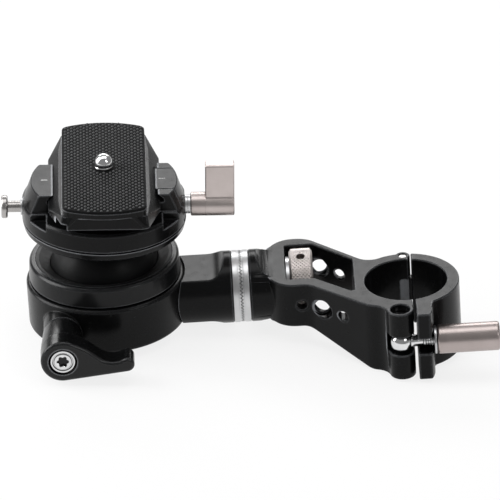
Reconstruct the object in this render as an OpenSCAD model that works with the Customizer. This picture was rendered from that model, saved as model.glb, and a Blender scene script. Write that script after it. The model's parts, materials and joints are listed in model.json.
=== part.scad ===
// Ball head with a quick-release plate, on a rosette arm with a hinged tube clamp.
// Origin: centre of the tube clamp's bore. +Z runs along the tube, +X from the head to the clamp.

/* [Tube clamp] */
// Diameter of the tube
tube_d = 28; // [24:0.5:32]
// Wall round the tube
clamp_wall = 4.2; // [3.6:0.2:5]
// Height of the clamp
clamp_h = 25.2; // [24:0.2:30]
// Distance of the split from the tube axis
split_x = 2; // [1.4:0.2:3]
// Width of the split
split_gap = 1; // [0.8:0.1:1.4]
// Diameter of the hinge pin
hinge_d = 2.5; // [2:0.1:3]
// Radius of the hinge knuckles
knuckle_r = 2.5; // [2.3:0.1:2.7]
// Height of the middle knuckle
knuckle_h = 8.4; // [6:0.2:11]
// Radius of the boss round the swing pin
boss_r = 4.4; // [4.2:0.1:5]
// Distance of the swing pin from the clamp's outer wall
swing_out = 2; // [1.6:0.2:3]
// Thickness of the forked ear
ear_t = 5.6; // [5:0.2:7]
// How far the ear stands in front of the boss
ear_front = 0.6; // [0.2:0.2:1]
// Diameter of the swing bolt's thread
bolt_d = 4.8; // [4:0.1:5]
// Diameter of the swing bolt's smooth shank
shank_d = 4; // [3.4:0.1:4]
// Diameter of the eye
eye_d = 7.8; // [7.4:0.1:8]
// Thickness of the eye
eye_t = 6.2; // [5.6:0.1:6.6]
// Diameter of the swing pin's shank
swing_pin_d = 3.6; // [3:0.1:4]
// Diameter of the swing pin's head
swing_head_d = 6.4; // [6:0.1:6.6]
// Diameter of the round nut
nut_d = 9.9; // [9:0.1:11]
// Length of the round nut
nut_l = 21.4; // [16:0.2:26]
// Thickness of the nut's washer
nut_washer_t = 0.7; // [0.5:0.1:1]

/* [Arm] */
// Arm axis behind the tube axis
arm_y = 16.9; // [16:0.1:18]
// Thickness of the arm's flat part
arm_t = 16.2; // [15:0.2:17.6]
// Width of the arm's block
block_w = 33; // [32:0.2:36]
// Distance from the tube axis to the plane where the rosettes mesh
arm_reach = 56; // [55:0.5:60]
// Radius of collar, neck and rosettes
collar_r = 12.4; // [12:0.1:13]
// Width of the window at the thumbwheel
window_w = 23.8; // [23.6:0.1:24.6]
// Length of the straight part of the window
window_l = 9.6; // [9.4:0.1:10]
// Wall between the window and the collar
window_wall = 12.5; // [11:0.1:13]
// Wall between the window and the tube
web_t = 3.6; // [3:0.2:4.4]
// Diameter of the threaded accessory hole
accessory_d = 6.35; // [5:0.05:7]
// Diameter of the two locating holes
locating_d = 3.4; // [3:0.1:4]
// Spacing of the accessory holes
hole_pitch = 6.8; // [6.2:0.1:7]
// Radius of the ramp between flat and collar
ramp_r = 6; // [5:0.2:7]

/* [Rosette and thumbwheel] */
// Thickness of one rosette
rosette_t = 3; // [2.6:0.1:4]
// Number of teeth
teeth = 60; // [48:12:72]
// Depth of the teeth at the rim
tooth_h = 0.9; // [0.6:0.05:1]
// Axial play between the teeth
tooth_gap = 0.16; // [0.12:0.02:0.24]
// Inner radius of the teeth
tooth_ri = 7.5; // [6:0.1:9]
// Radius of the rosette's spigot
spigot_r = 6.5; // [5:0.1:8]
// Depth of the rosette's spigot
spigot_h = 2; // [1.4:0.1:3]
// Diameter of the tie bolt
tie_d = 6; // [5:0.1:7]
// Radius of the thumbwheel
knob_r = 11.6; // [10.6:0.1:11.6]
// Length of the thumbwheel
knob_l = 8; // [7:0.1:8]
// Chamfer on the thumbwheel's rims
knob_chamfer = 0.9; // [0.5:0.1:1.2]
// Diameter of the cross hole in the thumbwheel
cross_d = 3; // [2:0.1:3.6]
// Radius of the thumbwheel's washer
tie_washer_r = 9; // [7:0.1:10]
// Thickness of the thumbwheel's washer
tie_washer_t = 1.2; // [0.8:0.1:1.4]

/* [Base] */
// Radius of the housing
housing_r = 27.1; // [26.6:0.1:29]
// Height of the housing
housing_h = 16.6; // [16.4:0.1:18]
// Side wall of the housing
housing_wall = 3.6; // [3:0.1:4]
// Floor of the housing
floor_t = 3; // [2.4:0.1:3.2]
// Length of the neck
neck_l = 16.1; // [15:0.1:20]
// Radius of the collar at its top
ring_r = 25.6; // [25.2:0.1:26.4]
// Height of the collar above the housing
ring_h = 7.6; // [7:0.1:9]
// Height of the groove under the collar
groove_h = 0.6; // [0.4:0.1:1]
// Depth of the collar's spigot in the housing
ring_spigot = 4.6; // [4:0.1:5.4]
// Radius of the liner
liner_r = 23.3; // [22.6:0.1:23.6]
// Radius of the ball
ball_r = 19; // [18:0.1:19.2]
// Height of the ball's centre above the housing's rim
ball_up = 0.7; // [0:0.1:1.4]
// Running gap round the ball
ball_gap = 0.3; // [0.2:0.05:0.4]
// Radius of the ball's stem
stem_r = 12; // [10:0.1:13]
// Radius of the lower seat
seat_r = 21.2; // [20.6:0.1:21.2]
// Depth of the ball below its centre
ball_cut = 6; // [4:0.1:7]
// Tilt of the head as it stands
head_tilt = 3; // [0:0.5:5]

/* [Lock lever] */
// Sideways offset of the lever's axis
lever_off = 15.3; // [14:0.1:16.5]
// Radius of the hub
hub_r = 7.5; // [7:0.1:8.5]
// Length of the hub
hub_l = 18.9; // [16:0.1:22]
// Length of the handle from its axis
handle_l = 21; // [18:0.2:26]
// Radius of the handle's tip
tip_r = 3.1; // [2.6:0.1:4]
// Width of the handle along its axis
handle_w = 8.4; // [7:0.1:10]
// Slope of the handle as it stands
handle_drop = 7; // [0:1:15]
// Diameter of the lock bolt
lock_d = 6; // [5:0.1:6.4]
// Diameter of the lever screw's head
lever_screw_d = 8.6; // [7:0.1:9.6]

/* [Head] */
// Distance from ball centre to the head's parting plane
head_up = 22.1; // [21.6:0.1:25]
// Radius of the head
head_r = 28; // [27.6:0.1:30]
// Thickness of the platform
platform_t = 3.5; // [3:0.1:4]
// Height of the clamp body's disc
disc_h = 7; // [6.8:0.1:8]
// Height of the jaws above the parting plane
jaw_h = 13.6; // [13.4:0.1:14.2]
// Half width of the jaw towers
tower_w = 11.3; // [10.8:0.1:12.5]
// Half width of the moving jaw
jaw_w = 7.3; // [6.6:0.1:7.6]
// Height of the lever and pin axis above the parting plane
cross_z = 3.6; // [3.5:0.05:3.8]
// Diameter of the clamping screw
screw_d = 3; // [2.6:0.1:3.2]
// Radius of the clamping lever
lever_r = 4.1; // [3.6:0.1:4.6]
// Length of the clamping lever
lever_l = 14.9; // [13:0.1:17]
// Width of the paddle
paddle_w = 9.9; // [8:0.1:11]
// Height of the paddle above the axis
paddle_h = 15.6; // [12:0.1:18]
// Thickness of the paddle
paddle_t = 4.6; // [3:0.1:6]
// Diameter of the pull pin
pin_d = 3.9; // [3.4:0.1:4]
// Diameter of the pull pin's head
pin_head_d = 7.9; // [7:0.1:9]
// Length of the pull pin outside the body
pin_out = 4.8; // [4:0.1:6]
// Travel of the pull pin
pin_travel = 3; // [2.6:0.1:3]

/* [Plate] */
// Half width of the dovetail
plate_w = 19; // [18.4:0.1:19.4]
// Radius of the plate's ends
plate_end = 33.6; // [33.4:0.1:36]
// Length of the straight sides
plate_side = 36; // [32:0.5:38]
// Height of the dovetail's upright edge
edge_h = 1; // [0.8:0.1:1.2]
// Height of the dovetail's slope
slope_h = 3.6; // [3.4:0.1:3.8]
// Half width of the raised block and pad
pad_w = 14.2; // [13.6:0.1:14.6]
// Radius of the pad's ends
pad_end = 32.4; // [31.6:0.1:32.8]
// Height of the raised block
raise_h = 2.3; // [2:0.1:3]
// Thickness of the pad
pad_t = 1.1; // [0.8:0.1:1.6]
// Slide of the plate each way
plate_travel = 10; // [6:0.5:11]
// Diameter of the camera screw
camera_d = 6.35; // [6:0.05:6.4]
// Length of the camera screw above the pad
camera_up = 4.6; // [4:0.1:6]

/* [Fits] */
// Gap between pieces that move past each other
body_gap = 0.3; // [0.25:0.05:0.35]
// Radial play of a turning shaft
run_play = 0.05; // [0.03:0.01:0.08]
// Play of a face that slides or turns on another
face_play = 0.1; // [0.06:0.02:0.14]
// Play of a pressed or bolted piece
seat_play = 0.02; // [0.01:0.01:0.03]
// Edge break on machined edges
edge = 0.8; // [0.5:0.1:1]

/* [Hidden] */
$fn = 72;
bore_r = tube_d / 2;
clamp_r = bore_r + clamp_wall;
top_z = clamp_h / 2;
far = 200;
eps = 0.05;
cap_x = split_x + split_gap / 2;
fixed_x = split_x - split_gap / 2;
hinge_wall = 1.6;
hinge_x = cap_x - knuckle_r - body_gap;
hinge_y = bore_r + hinge_wall + hinge_d / 2;
hinge_land = 0.4;
knuckle_reach = 1.5;
swing_x = fixed_x - boss_r;
swing_y = -clamp_r - swing_out;
ear_x1 = cap_x + ear_t;
ear_y = swing_y - boss_r - ear_front;
ear_root = 2;
eye_slot = eye_t / 2 + body_gap;
eye_clear = eye_d / 2 + 1;
fork_half = bolt_d / 2 + 0.5;
fork_back = bolt_d / 2 + 0.9;
nut_x = ear_x1 + face_play;
nut_wall = 3;
nut_room = 0.4;
nut_chamfer = 0.6;
bolt_end = 3.4;
swing_head_h = 4;
swing_sink = 2.8;
swing_tail = 9;
hex_share = 0.52;
hex_depth = 2;

arm_z = top_z - arm_t / 2;
flat_h = arm_t / 2;
mesh_x = -arm_reach;
collar_x = mesh_x + rosette_t;
ramp_l = 8.4;
ramp_x = collar_x + ramp_l;
nose_l = 5.6;
nose_x = collar_x + nose_l;
nose_half = 9.5;
block_l = 11;
block_x = collar_x + block_l;
block_half = block_w / 2;
bend_l = 20;
bend_x = collar_x + bend_l;
front_y = arm_y - block_half;
back_y = arm_y + block_half;
foot_x = swing_x - boss_r - 3.6;
foot_y = swing_y + 1.8;
join_x = -bore_r;
join_y = bore_r + 1.6;
inner_x0 = collar_x + window_wall;
inner_x1 = inner_x0 + window_l;
inner_x2 = -bore_r - web_t;
inner_half = window_w / 2;
corner_r = 9;
fillet_r = 6;
slope_x0 = bend_x - 1;
slope_x1 = -bore_r + 1;
slope_r = 8;
accessory_x = inner_x1 + 2.1;
knob_x0 = inner_x0 + face_play + tie_washer_t;
tie_reach = 9;
tie_end = mesh_x - rosette_t - tie_reach;
tie_tip = 0.8;
tooth_ro = collar_r - 0.15;
tooth_root = rosette_t - tooth_gap / 2 - tooth_h / 2;
cross_tilt = 10;

base_x = mesh_x - rosette_t - neck_l - housing_r;
base_z = arm_z - housing_h / 2;
rim_z = arm_z + housing_h / 2;
cup_r = housing_r - housing_wall;
ball_z = rim_z + ball_up;
ring_top = rim_z + ring_h;
ring_flare = 0.4;
ring_bore = seat_r + 0.4;
lip_up = 5;
funnel_r = liner_r - 0.9;
liner_low = 1.1;
seat_top = 0.9;
seat_low = 8.5;
seat_flank = 2;
spring_h = 2;
spring_w = 1.8;
spring_out = 0.2;
spring_land = 0.6;
step_z = ball_z - seat_low - spring_h - face_play;
spring_r1 = seat_r - seat_flank + spring_out;
spring_r0 = spring_r1 - spring_w;
step_r = spring_r0 - spring_land;
neck_screw_d = 4;
neck_screw_y = 7.2;
neck_head_d = 6.4;
neck_head_h = 1.8;
neck_screw_l = 12;

lever_x = base_x - lever_off;
lever_pad_y = arm_y - sqrt(pow(housing_r, 2) - pow(lever_off - hub_r, 2)) - 0.2;
hub_y = lever_pad_y - body_gap;
pad_boss_r = hub_r - 1;
lock_tip_y = arm_y - lever_off + 0.2;
lock_tip_r = 1.2;
lock_tip_l = 2.4;
hub_taper = 0.8;
recess_h = 1.6;
lever_head_h = 1.2;
recess_r = lever_screw_d / 2 + 0.5;
lever_screw_shank = 4;
lever_screw_l = 8;
handle_root = 0.4;
handle_steps = 10;
handle_dip = 0.9;

pan_boss_r = 5.5;
retainer_r = 8.2;
retainer_t = 1.3;
recess_z = 4.2;
retainer_well = retainer_r + 0.4;
stem_screw_d = 6;
stem_head_r = 4.5;
stem_head_h = 1.2;
stem_screw_l = 14;
slip_r0 = 14;
slip_r1 = 24;
slip_t = 0.6;
platform_taper = 0.6;
cone_top = head_r - 3;
ledge_z = disc_h + 3.6;
plate_z = ledge_z + face_play;
dove_z = plate_z + edge_h;
dove_play = 0.15;
jaw_edge = plate_w + dove_play - (jaw_h - dove_z);
jaw_back = plate_w + body_gap;
ledge_x = plate_w - 2.5;
jaw_x0 = ledge_x - 0.7;
slot_x0 = jaw_x0 - 0.5;
jaw_z0 = 1.15;
slot_z0 = 1;
jaw_slot = jaw_w + 0.15;
jaw_face = head_r - 0.6;
shoulder_back = 0.8;
scoop_x = plate_w + 0.8;
scoop_z = 4.4;
screw_x0 = retainer_well + 0.6;
spring_play = 0.2;
jaw_spring_l = 2.6;
jaw_spring_w = 0.4;
washer_t = 0.85;
washer_r = 3.3;
lever_x0 = jaw_face + 2 * (washer_t + face_play) + face_play;
lever_bore = 6;

pin_head_t = 2.2;
pin_x0 = -head_r - pin_out;
dog_x = -retainer_well - 3;
dog_d = 3;
dog_z = plate_z + 1.5;
dog_slot = dog_d / 2 + body_gap;
pin_collar_r = 2.7;
pin_collar_t = 1;
chamber_x = dog_x - dog_slot - pin_travel - 2;
chamber_r = 2.9;
bush_l = 2.8;
bush_r = chamber_r - seat_play;
bush_flange = 0.4;
pull_wire = 0.5;

slope_top = plate_w - slope_h;
block_z = dove_z + slope_h;
pad_z = block_z + raise_h;
plate_top = pad_z + pad_t;
chamfer_in = 4.4;
chamfer_y = 31;
end_slope = 1.2;
pad_corner = 3;
groove_depth = 1.9;
stop_half = plate_travel + dog_slot;
camera_head_r = 7.8;
camera_head_h = 1.8;
camera_well_r = camera_head_r + 0.4;
camera_well_h = camera_head_h + 0.4;
camera_slot_w = 1.6;
camera_slot_h = 0.8;
pad_hole_r = camera_d / 2 + 0.5;
clip_r = 5;
clip_t = 0.6;
clip_well = clip_t + 0.3;
dome_h = 1.6;
dome_sphere = (pow(camera_d / 2, 2) + pow(dome_h, 2)) / (2 * dome_h);
neck_d = camera_d - 0.8;
thread_z = plate_top + face_play;

black = "#26272a";
steel = "#b9bcc0";
chrome = "#d8dadd";
champagne = "#c3b7b3";
silver = "#cfd2d4";
rubber = "#191a1b";

// Placing

module along_x(x) {
    translate([x, 0, 0])
        rotate([0, 90, 0])
            children();
}

module arm_axis(x) {
    translate([x, arm_y, arm_z])
        rotate([0, 90, 0])
            children();
}

module base_frame() {
    translate([base_x, arm_y, 0])
        children();
}

// The head stands tilted about the ball's centre; its own zero is the parting plane
module head_frame() {
    translate([base_x, arm_y, ball_z])
        rotate([0, head_tilt, 0])
            translate([0, 0, head_up])
                children();
}

module swing_frame() {
    translate([swing_x, swing_y, 0])
        children();
}

module lever_frame() {
    translate([lever_x, 0, arm_z])
        rotate([90, 0, 0])
            children();
}

// Shared shapes

module tube(r, r_in, h) {
    difference() {
        cylinder(r = r, h = h);
        translate([0, 0, -eps])
            cylinder(r = r_in, h = h + 2 * eps);
    }
}

module hex_socket(d, depth) {
    translate([0, 0, -depth])
        cylinder(r = d * hex_share / 2, h = depth + eps, $fn = 6);
}

module chamfered(r, h, c) {
    rotate_extrude()
        polygon([[0, 0], [r - c, 0], [r, c], [r, h - c], [r - c, h], [0, h]]);
}

module smooth(r) {
    offset(r = r)
        offset(delta = -r)
            children();
}

module filleted(r) {
    offset(r = -r)
        offset(delta = r)
            children();
}

// Toothed ring whose flanks all point at the axis, so that it meshes with its twin turned half a tooth
module tooth_ring(phase) {
    n = 2 * teeth;
    base = tooth_root - tooth_h;
    mean = tooth_root + tooth_h / 2;
    function tip(i, r) = mean + ((i % 2 == 0) ? 1 : -1) * tooth_h / 2 * r / collar_r;
    function at(i, r, z) = [r * cos((i + phase) * 180 / teeth), r * sin((i + phase) * 180 / teeth), z];
    points = [
        for (i = [0 : n - 1])
            each [
                at(i, tooth_ro, base),
                at(i, tooth_ro, tip(i, tooth_ro)),
                at(i, tooth_ri, tip(i, tooth_ri)),
                at(i, tooth_ri, base)
            ]
    ];
    faces = [
        for (i = [0 : n - 1])
            for (k = [0 : 3])
                let (a = 4 * i, b = 4 * ((i + 1) % n), l = (k + 1) % 4)
                    each [[a + k, a + l, b + l], [a + k, b + l, b + k]]
    ];
    polyhedron(points, faces);
}

module rosette(phase) {
    difference() {
        union() {
            cylinder(r = collar_r, h = tooth_root - tooth_h / 2);
            tooth_ring(phase);
            cylinder(r = tooth_ri + edge / 2, h = tooth_root);
            translate([0, 0, -spigot_h])
                cylinder(r = spigot_r, h = spigot_h + eps);
        }
        translate([0, 0, -spigot_h - eps])
            cylinder(r = tie_d / 2 + run_play, h = far);
    }
}

// Cuts that leave a flat of the arm's thickness and a hollow ramp up to the round collar
module flat_cuts(x, side) {
    for (s = [-1, 1])
        translate([x, arm_y, arm_z + s * (flat_h + ramp_r)])
            rotate([90, 0, 0]) {
                cylinder(r = ramp_r, h = far, center = true);
                translate([side * far / 2, 0, 0])
                    cube([far, 2 * ramp_r, far], center = true);
            }
}

// Arm and tube clamp

module bracket_plan() {
    difference() {
        filleted(fillet_r)
            union() {
                smooth(corner_r)
                    polygon([
                        [nose_x, arm_y - nose_half], [block_x, front_y], [bend_x, front_y],
                        [foot_x, foot_y], [fixed_x, -bore_r], [fixed_x, bore_r], [join_x, join_y],
                        [bend_x, back_y], [block_x, back_y], [nose_x, arm_y + nose_half]
                    ]);
                circle(r = clamp_r);
                translate([swing_x, swing_y])
                    circle(r = boss_r);
            }
        translate([fixed_x, -far / 2])
            square([far, far]);
    }
}

module bracket_side() {
    low = arm_z - flat_h;
    translate([0, far / 2, 0])
        rotate([90, 0, 0])
            linear_extrude(far)
                smooth(slope_r)
                    filleted(slope_r)
                        polygon([
                            [nose_x - 2 * slope_r, low], [slope_x0, low], [slope_x1, -top_z],
                            [far, -top_z], [far, far], [nose_x - 2 * slope_r, far]
                        ]);
}

module window_plan() {
    run = inner_x2 - inner_x1;
    fall = run * (front_y - foot_y) / (foot_x - bend_x);
    back_fall = run * (back_y - join_y) / (join_x - bend_x);
    smooth(1)
        polygon([
            [inner_x0, arm_y - inner_half], [inner_x1, arm_y - inner_half],
            [inner_x2, arm_y - inner_half - fall], [inner_x2, arm_y + inner_half - back_fall],
            [inner_x1, arm_y + inner_half], [inner_x0, arm_y + inner_half]
        ]);
}

module hinge_knuckle(z0, z1) {
    translate([hinge_x, hinge_y, z0])
        cylinder(r = knuckle_r, h = z1 - z0);
}

module accessory_hole(x, d) {
    translate([x, arm_y, arm_z])
        rotate([90, 0, 0])
            cylinder(r = d / 2, h = far, center = true);
}

module bracket() {
    land = knuckle_h / 2 + hinge_land;
    color(black)
        difference() {
            union() {
                intersection() {
                    translate([0, 0, -top_z])
                        linear_extrude(clamp_h)
                            bracket_plan();
                    bracket_side();
                }
                difference() {
                    arm_axis(collar_x)
                        cylinder(r = collar_r, h = block_x - collar_x);
                    flat_cuts(ramp_x, 1);
                }
                hinge_knuckle(land, top_z);
                hinge_knuckle(-top_z, -land);
            }
            translate([0, 0, -far / 2])
                linear_extrude(far)
                    window_plan();
            translate([0, 0, -far / 2])
                cylinder(r = bore_r, h = far);
            translate([hinge_x, hinge_y, -land])
                cylinder(r = knuckle_r + body_gap, h = 2 * land);
            translate([hinge_x, hinge_y, -far / 2])
                cylinder(r = hinge_d / 2 + seat_play, h = far);
            swing_frame() {
                translate([0, 0, -eye_slot])
                    cylinder(r = eye_clear, h = 2 * eye_slot);
                translate([0, 0, -swing_tail])
                    cylinder(r = swing_pin_d / 2 + seat_play, h = far);
                translate([0, 0, top_z - swing_sink - swing_head_h])
                    cylinder(r = swing_head_d / 2 + face_play, h = far);
            }
            arm_axis(collar_x - eps)
                cylinder(r = tie_d / 2 + run_play, h = inner_x0 - collar_x + 2 * eps);
            arm_axis(collar_x - eps)
                cylinder(r = spigot_r + seat_play, h = spigot_h + seat_play + eps);
            accessory_hole(accessory_x, accessory_d);
            accessory_hole(accessory_x - hole_pitch, locating_d);
            accessory_hole(accessory_x + hole_pitch, locating_d);
        }
}

module bracket_rosette() {
    color(silver)
        translate([collar_x, arm_y, arm_z])
            rotate([0, -90, 0])
                rosette(0);
}

module tie_knob() {
    color(champagne)
        difference() {
            arm_axis(knob_x0)
                chamfered(knob_r, knob_l, knob_chamfer);
            arm_axis(knob_x0 - eps)
                cylinder(r = tie_d / 2 + seat_play, h = knob_l + 2 * eps);
            translate([knob_x0 + knob_l / 2, arm_y, arm_z])
                rotate([cross_tilt, 0, 0])
                    translate([0, 0, tie_d / 2 + hinge_wall])
                        cylinder(r = cross_d / 2, h = knob_r);
        }
}

module tie_bolt() {
    color(steel)
        arm_axis(tie_end)
            chamfered(tie_d / 2, knob_x0 + knob_l - tie_end, tie_tip);
}

module tie_washer() {
    color(silver)
        arm_axis(inner_x0 + face_play)
            tube(tie_washer_r, tie_d / 2 + seat_play, tie_washer_t - seat_play);
}

module clamp_cap() {
    color(black)
        difference() {
            union() {
                translate([0, 0, -top_z])
                    linear_extrude(clamp_h)
                        filleted(1)
                            union() {
                                intersection() {
                                    circle(r = clamp_r);
                                    translate([cap_x, -far / 2])
                                        square([far, far]);
                                }
                                translate([cap_x, ear_y])
                                    square([ear_t, -ear_y - bore_r + ear_root]);
                            }
                hinge_knuckle(-knuckle_h / 2, knuckle_h / 2);
                translate([hinge_x, hinge_y - knuckle_reach, -knuckle_h / 2])
                    cube([cap_x - hinge_x + ear_root, 2 * knuckle_reach - hinge_land, knuckle_h]);
            }
            translate([0, 0, -far / 2])
                cylinder(r = bore_r, h = far);
            translate([hinge_x, hinge_y, -far / 2])
                cylinder(r = hinge_d / 2 + run_play, h = far);
            translate([cap_x - far / 2, swing_y + fork_back - far, -fork_half])
                cube([far, far, 2 * fork_half]);
            // Room for the nut and its washer beside the ring
            swing_frame()
                along_x(ear_x1 - swing_x)
                    cylinder(r = nut_d / 2 + nut_room, h = far);
            // The ear's front is rounded about the swing pin, so that the nut swings past it
            difference() {
                translate([cap_x, ear_y - far, -far / 2])
                    cube([far, far + swing_y - ear_y, far]);
                swing_frame()
                    cylinder(r = ear_x1 - swing_x, h = far, center = true);
            }
        }
}

module hinge_pin() {
    color(steel)
        translate([hinge_x, hinge_y, -top_z + hinge_land])
            cylinder(r = hinge_d / 2, h = clamp_h - 2 * hinge_land);
}

module swing_bolt() {
    thread_x = eye_d / 2 + swing_pin_d;
    color(chrome)
        swing_frame()
            difference() {
                union() {
                    intersection() {
                        sphere(r = eye_d / 2);
                        cylinder(r = eye_d, h = eye_t, center = true);
                    }
                    along_x(0)
                        cylinder(r = shank_d / 2, h = thread_x + eps);
                    along_x(thread_x)
                        chamfered(bolt_d / 2, nut_x + nut_l - bolt_end - swing_x - thread_x, tie_tip);
                }
                cylinder(r = swing_pin_d / 2 + run_play, h = far, center = true);
            }
}

module swing_pin() {
    head_z = top_z - swing_sink - swing_head_h;
    color(steel)
        swing_frame()
            difference() {
                union() {
                    translate([0, 0, -swing_tail + face_play])
                        cylinder(r = swing_pin_d / 2, h = head_z + swing_tail);
                    translate([0, 0, head_z + face_play])
                        chamfered(swing_head_d / 2, swing_head_h, hinge_land);
                }
                translate([0, 0, head_z + face_play + swing_head_h])
                    hex_socket(swing_head_d, hex_depth);
            }
}

module clamp_washer() {
    color(steel)
        swing_frame()
            along_x(nut_x - swing_x)
                tube(nut_d / 2 - face_play, bolt_d / 2 + run_play, nut_washer_t);
}

module clamp_nut() {
    start = nut_x - swing_x + nut_washer_t + face_play;
    color(champagne)
        swing_frame()
            difference() {
                along_x(start)
                    chamfered(nut_d / 2, nut_l, nut_chamfer);
                along_x(start - eps)
                    cylinder(r = bolt_d / 2 + run_play, h = nut_l - nut_wall);
            }
}

// Neck and base

module neck() {
    end = mesh_x - rosette_t;
    color(black)
        difference() {
            arm_axis(base_x + cup_r)
                cylinder(r = collar_r, h = end - base_x - cup_r);
            flat_cuts(end - ramp_x + collar_x, -1);
            base_frame()
                cylinder(r = housing_r + seat_play, h = far, center = true);
            arm_axis(end - spigot_h - seat_play)
                cylinder(r = spigot_r + seat_play, h = far);
            arm_axis(tie_end - tie_tip)
                cylinder(r = tie_d / 2 + run_play, h = far);
            neck_screw_holes(neck_screw_l + 1);
        }
}

module neck_screw_places() {
    for (s = [-1, 1])
        translate([base_x, arm_y + s * neck_screw_y, arm_z])
            rotate([0, 90, 0])
                children();
}

module neck_screw_holes(depth) {
    neck_screw_places()
        cylinder(r = neck_screw_d / 2 + seat_play, h = housing_r + depth);
}

module neck_rosette() {
    color(silver)
        arm_axis(mesh_x - rosette_t)
            rosette(teeth % 2 == 0 ? 1 : 0);
}

module neck_screws() {
    seat_x = sqrt(pow(cup_r, 2) - pow(neck_screw_y, 2)) + neck_head_h;
    color(steel)
        neck_screw_places() {
            translate([0, 0, seat_x - neck_head_h])
                difference() {
                    cylinder(r = neck_head_d / 2, h = neck_head_h);
                    rotate([180, 0, 0])
                        hex_socket(neck_head_d, neck_head_h / 2);
                }
            translate([0, 0, seat_x - eps])
                cylinder(r = neck_screw_d / 2, h = neck_screw_l + housing_wall - neck_head_h);
        }
}

module housing() {
    head_x = sqrt(pow(cup_r, 2) - pow(neck_screw_y, 2)) + neck_head_h;
    color(black)
        difference() {
            union() {
                base_frame()
                    translate([0, 0, base_z])
                        chamfered(housing_r, housing_h, edge);
                translate([0, lever_pad_y, 0])
                    lever_frame()
                        translate([0, 0, -lever_off])
                            cylinder(r = pad_boss_r, h = lever_off);
            }
            base_frame() {
                translate([0, 0, step_z])
                    cylinder(r = cup_r, h = far);
                translate([0, 0, base_z + floor_t])
                    cylinder(r = step_r, h = far);
            }
            translate([0, lock_tip_y, 0])
                lever_frame()
                    cylinder(r = lock_d / 2 + run_play, h = far);
            neck_screw_holes(0);
            neck_screw_places()
                cylinder(r = neck_head_d / 2 + seat_play, h = head_x);
        }
}

module collar() {
    spigot = cup_r - seat_play;
    color(black)
        base_frame()
            difference() {
                rotate_extrude()
                    polygon([
                        [0, rim_z - ring_spigot], [spigot, rim_z - ring_spigot], [spigot, rim_z + seat_play],
                        [ring_r - edge, rim_z + seat_play], [ring_r - edge, rim_z + groove_h],
                        [ring_r + ring_flare, rim_z + groove_h],
                        [ring_r + ring_flare, rim_z + groove_h + edge],
                        [ring_r, ring_top - edge], [ring_r - edge, ring_top], [0, ring_top]
                    ]);
                translate([0, 0, rim_z - far / 2])
                    cylinder(r = ring_bore, h = far);
                translate([0, 0, ball_z + liner_low])
                    cylinder(r = liner_r + seat_play, h = far);
            }
}

module collar_liner() {
    lip_z = ball_z + lip_up;
    lip_r = sqrt(pow(ball_r + ball_gap, 2) - pow(lip_up, 2));
    color(rubber)
        base_frame()
            difference() {
                translate([0, 0, ball_z + liner_low + seat_play])
                    cylinder(r = liner_r, h = ring_top - ball_z - liner_low - face_play);
                translate([0, 0, ball_z])
                    sphere(r = ball_r + ball_gap);
                translate([0, 0, lip_z])
                    cylinder(r1 = lip_r, r2 = funnel_r, h = ring_top - lip_z);
            }
}

module seat_spring() {
    color(steel)
        base_frame()
            translate([0, 0, step_z + seat_play])
                tube(spring_r1, spring_r0, spring_h);
}

module ball_seat() {
    low = ball_z - seat_low;
    color(silver)
        base_frame()
            difference() {
                rotate_extrude()
                    polygon([
                        [0, low], [seat_r - seat_flank, low], [seat_r, low + seat_flank],
                        [seat_r, ball_z - seat_top], [0, ball_z - seat_top]
                    ]);
                translate([0, 0, ball_z])
                    sphere(r = ball_r + ball_gap);
            }
}

module lock_bolt() {
    length = lock_tip_y - hub_y + hub_l - recess_h - lever_screw_l;
    color(steel)
        translate([0, lock_tip_y, 0])
            lever_frame()
                difference() {
                    rotate_extrude()
                        polygon([
                            [0, 0], [lock_tip_r, 0], [lock_d / 2, lock_tip_l],
                            [lock_d / 2, length + lever_screw_l / 2], [0, length + lever_screw_l / 2]
                        ]);
                    translate([0, 0, length - lever_screw_l / 2])
                        cylinder(r = lever_screw_shank / 2 + seat_play, h = far);
                }
}

// Handle with a straight lower edge and a hollow upper edge
module lock_handle() {
    root_r = hub_r - edge;
    start = root_r * handle_root;
    linear_extrude(handle_w - 2 * edge)
        polygon([
            for (i = [0 : handle_steps])
                let (t = i / handle_steps)
                    [start + t * (handle_l - start),
                        tip_r + (root_r - tip_r) * (1 + cos(180 * t)) / 2 - handle_dip * sin(180 * t)],
            [handle_l, -tip_r],
            [0, -root_r]
        ]);
    translate([handle_l, 0, 0])
        cylinder(r = tip_r, h = handle_w - 2 * edge);
}

module lock_lever() {
    face = hub_l - handle_w;
    color(black)
        translate([0, hub_y, 0])
            lever_frame()
                difference() {
                    union() {
                        rotate_extrude()
                            polygon([
                                [0, 0], [hub_r - hub_taper, 0], [hub_r, face], [hub_r, hub_l - edge],
                                [hub_r - edge, hub_l], [0, hub_l]
                            ]);
                        rotate([0, 0, -handle_drop])
                            translate([0, 0, face + edge / 2])
                                lock_handle();
                    }
                    translate([0, 0, -eps])
                        cylinder(r = lock_d / 2 + seat_play, h = hub_l - recess_h - lever_screw_l / 2 + eps);
                    cylinder(r = lever_screw_shank / 2 + seat_play, h = far);
                    translate([0, 0, hub_l - recess_h])
                        cylinder(r = recess_r, h = far);
                }
}

module lever_screw() {
    color(chrome)
        translate([0, hub_y, 0])
            lever_frame()
                translate([0, 0, hub_l - recess_h + seat_play]) {
                    difference() {
                        chamfered(lever_screw_d / 2, lever_head_h, hinge_land);
                        translate([0, 0, lever_head_h])
                            hex_socket(lever_screw_d, lever_head_h / 2);
                    }
                    translate([0, 0, -lever_screw_l + face_play])
                        cylinder(r = lever_screw_shank / 2, h = lever_screw_l);
                }
}

// Head

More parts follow.
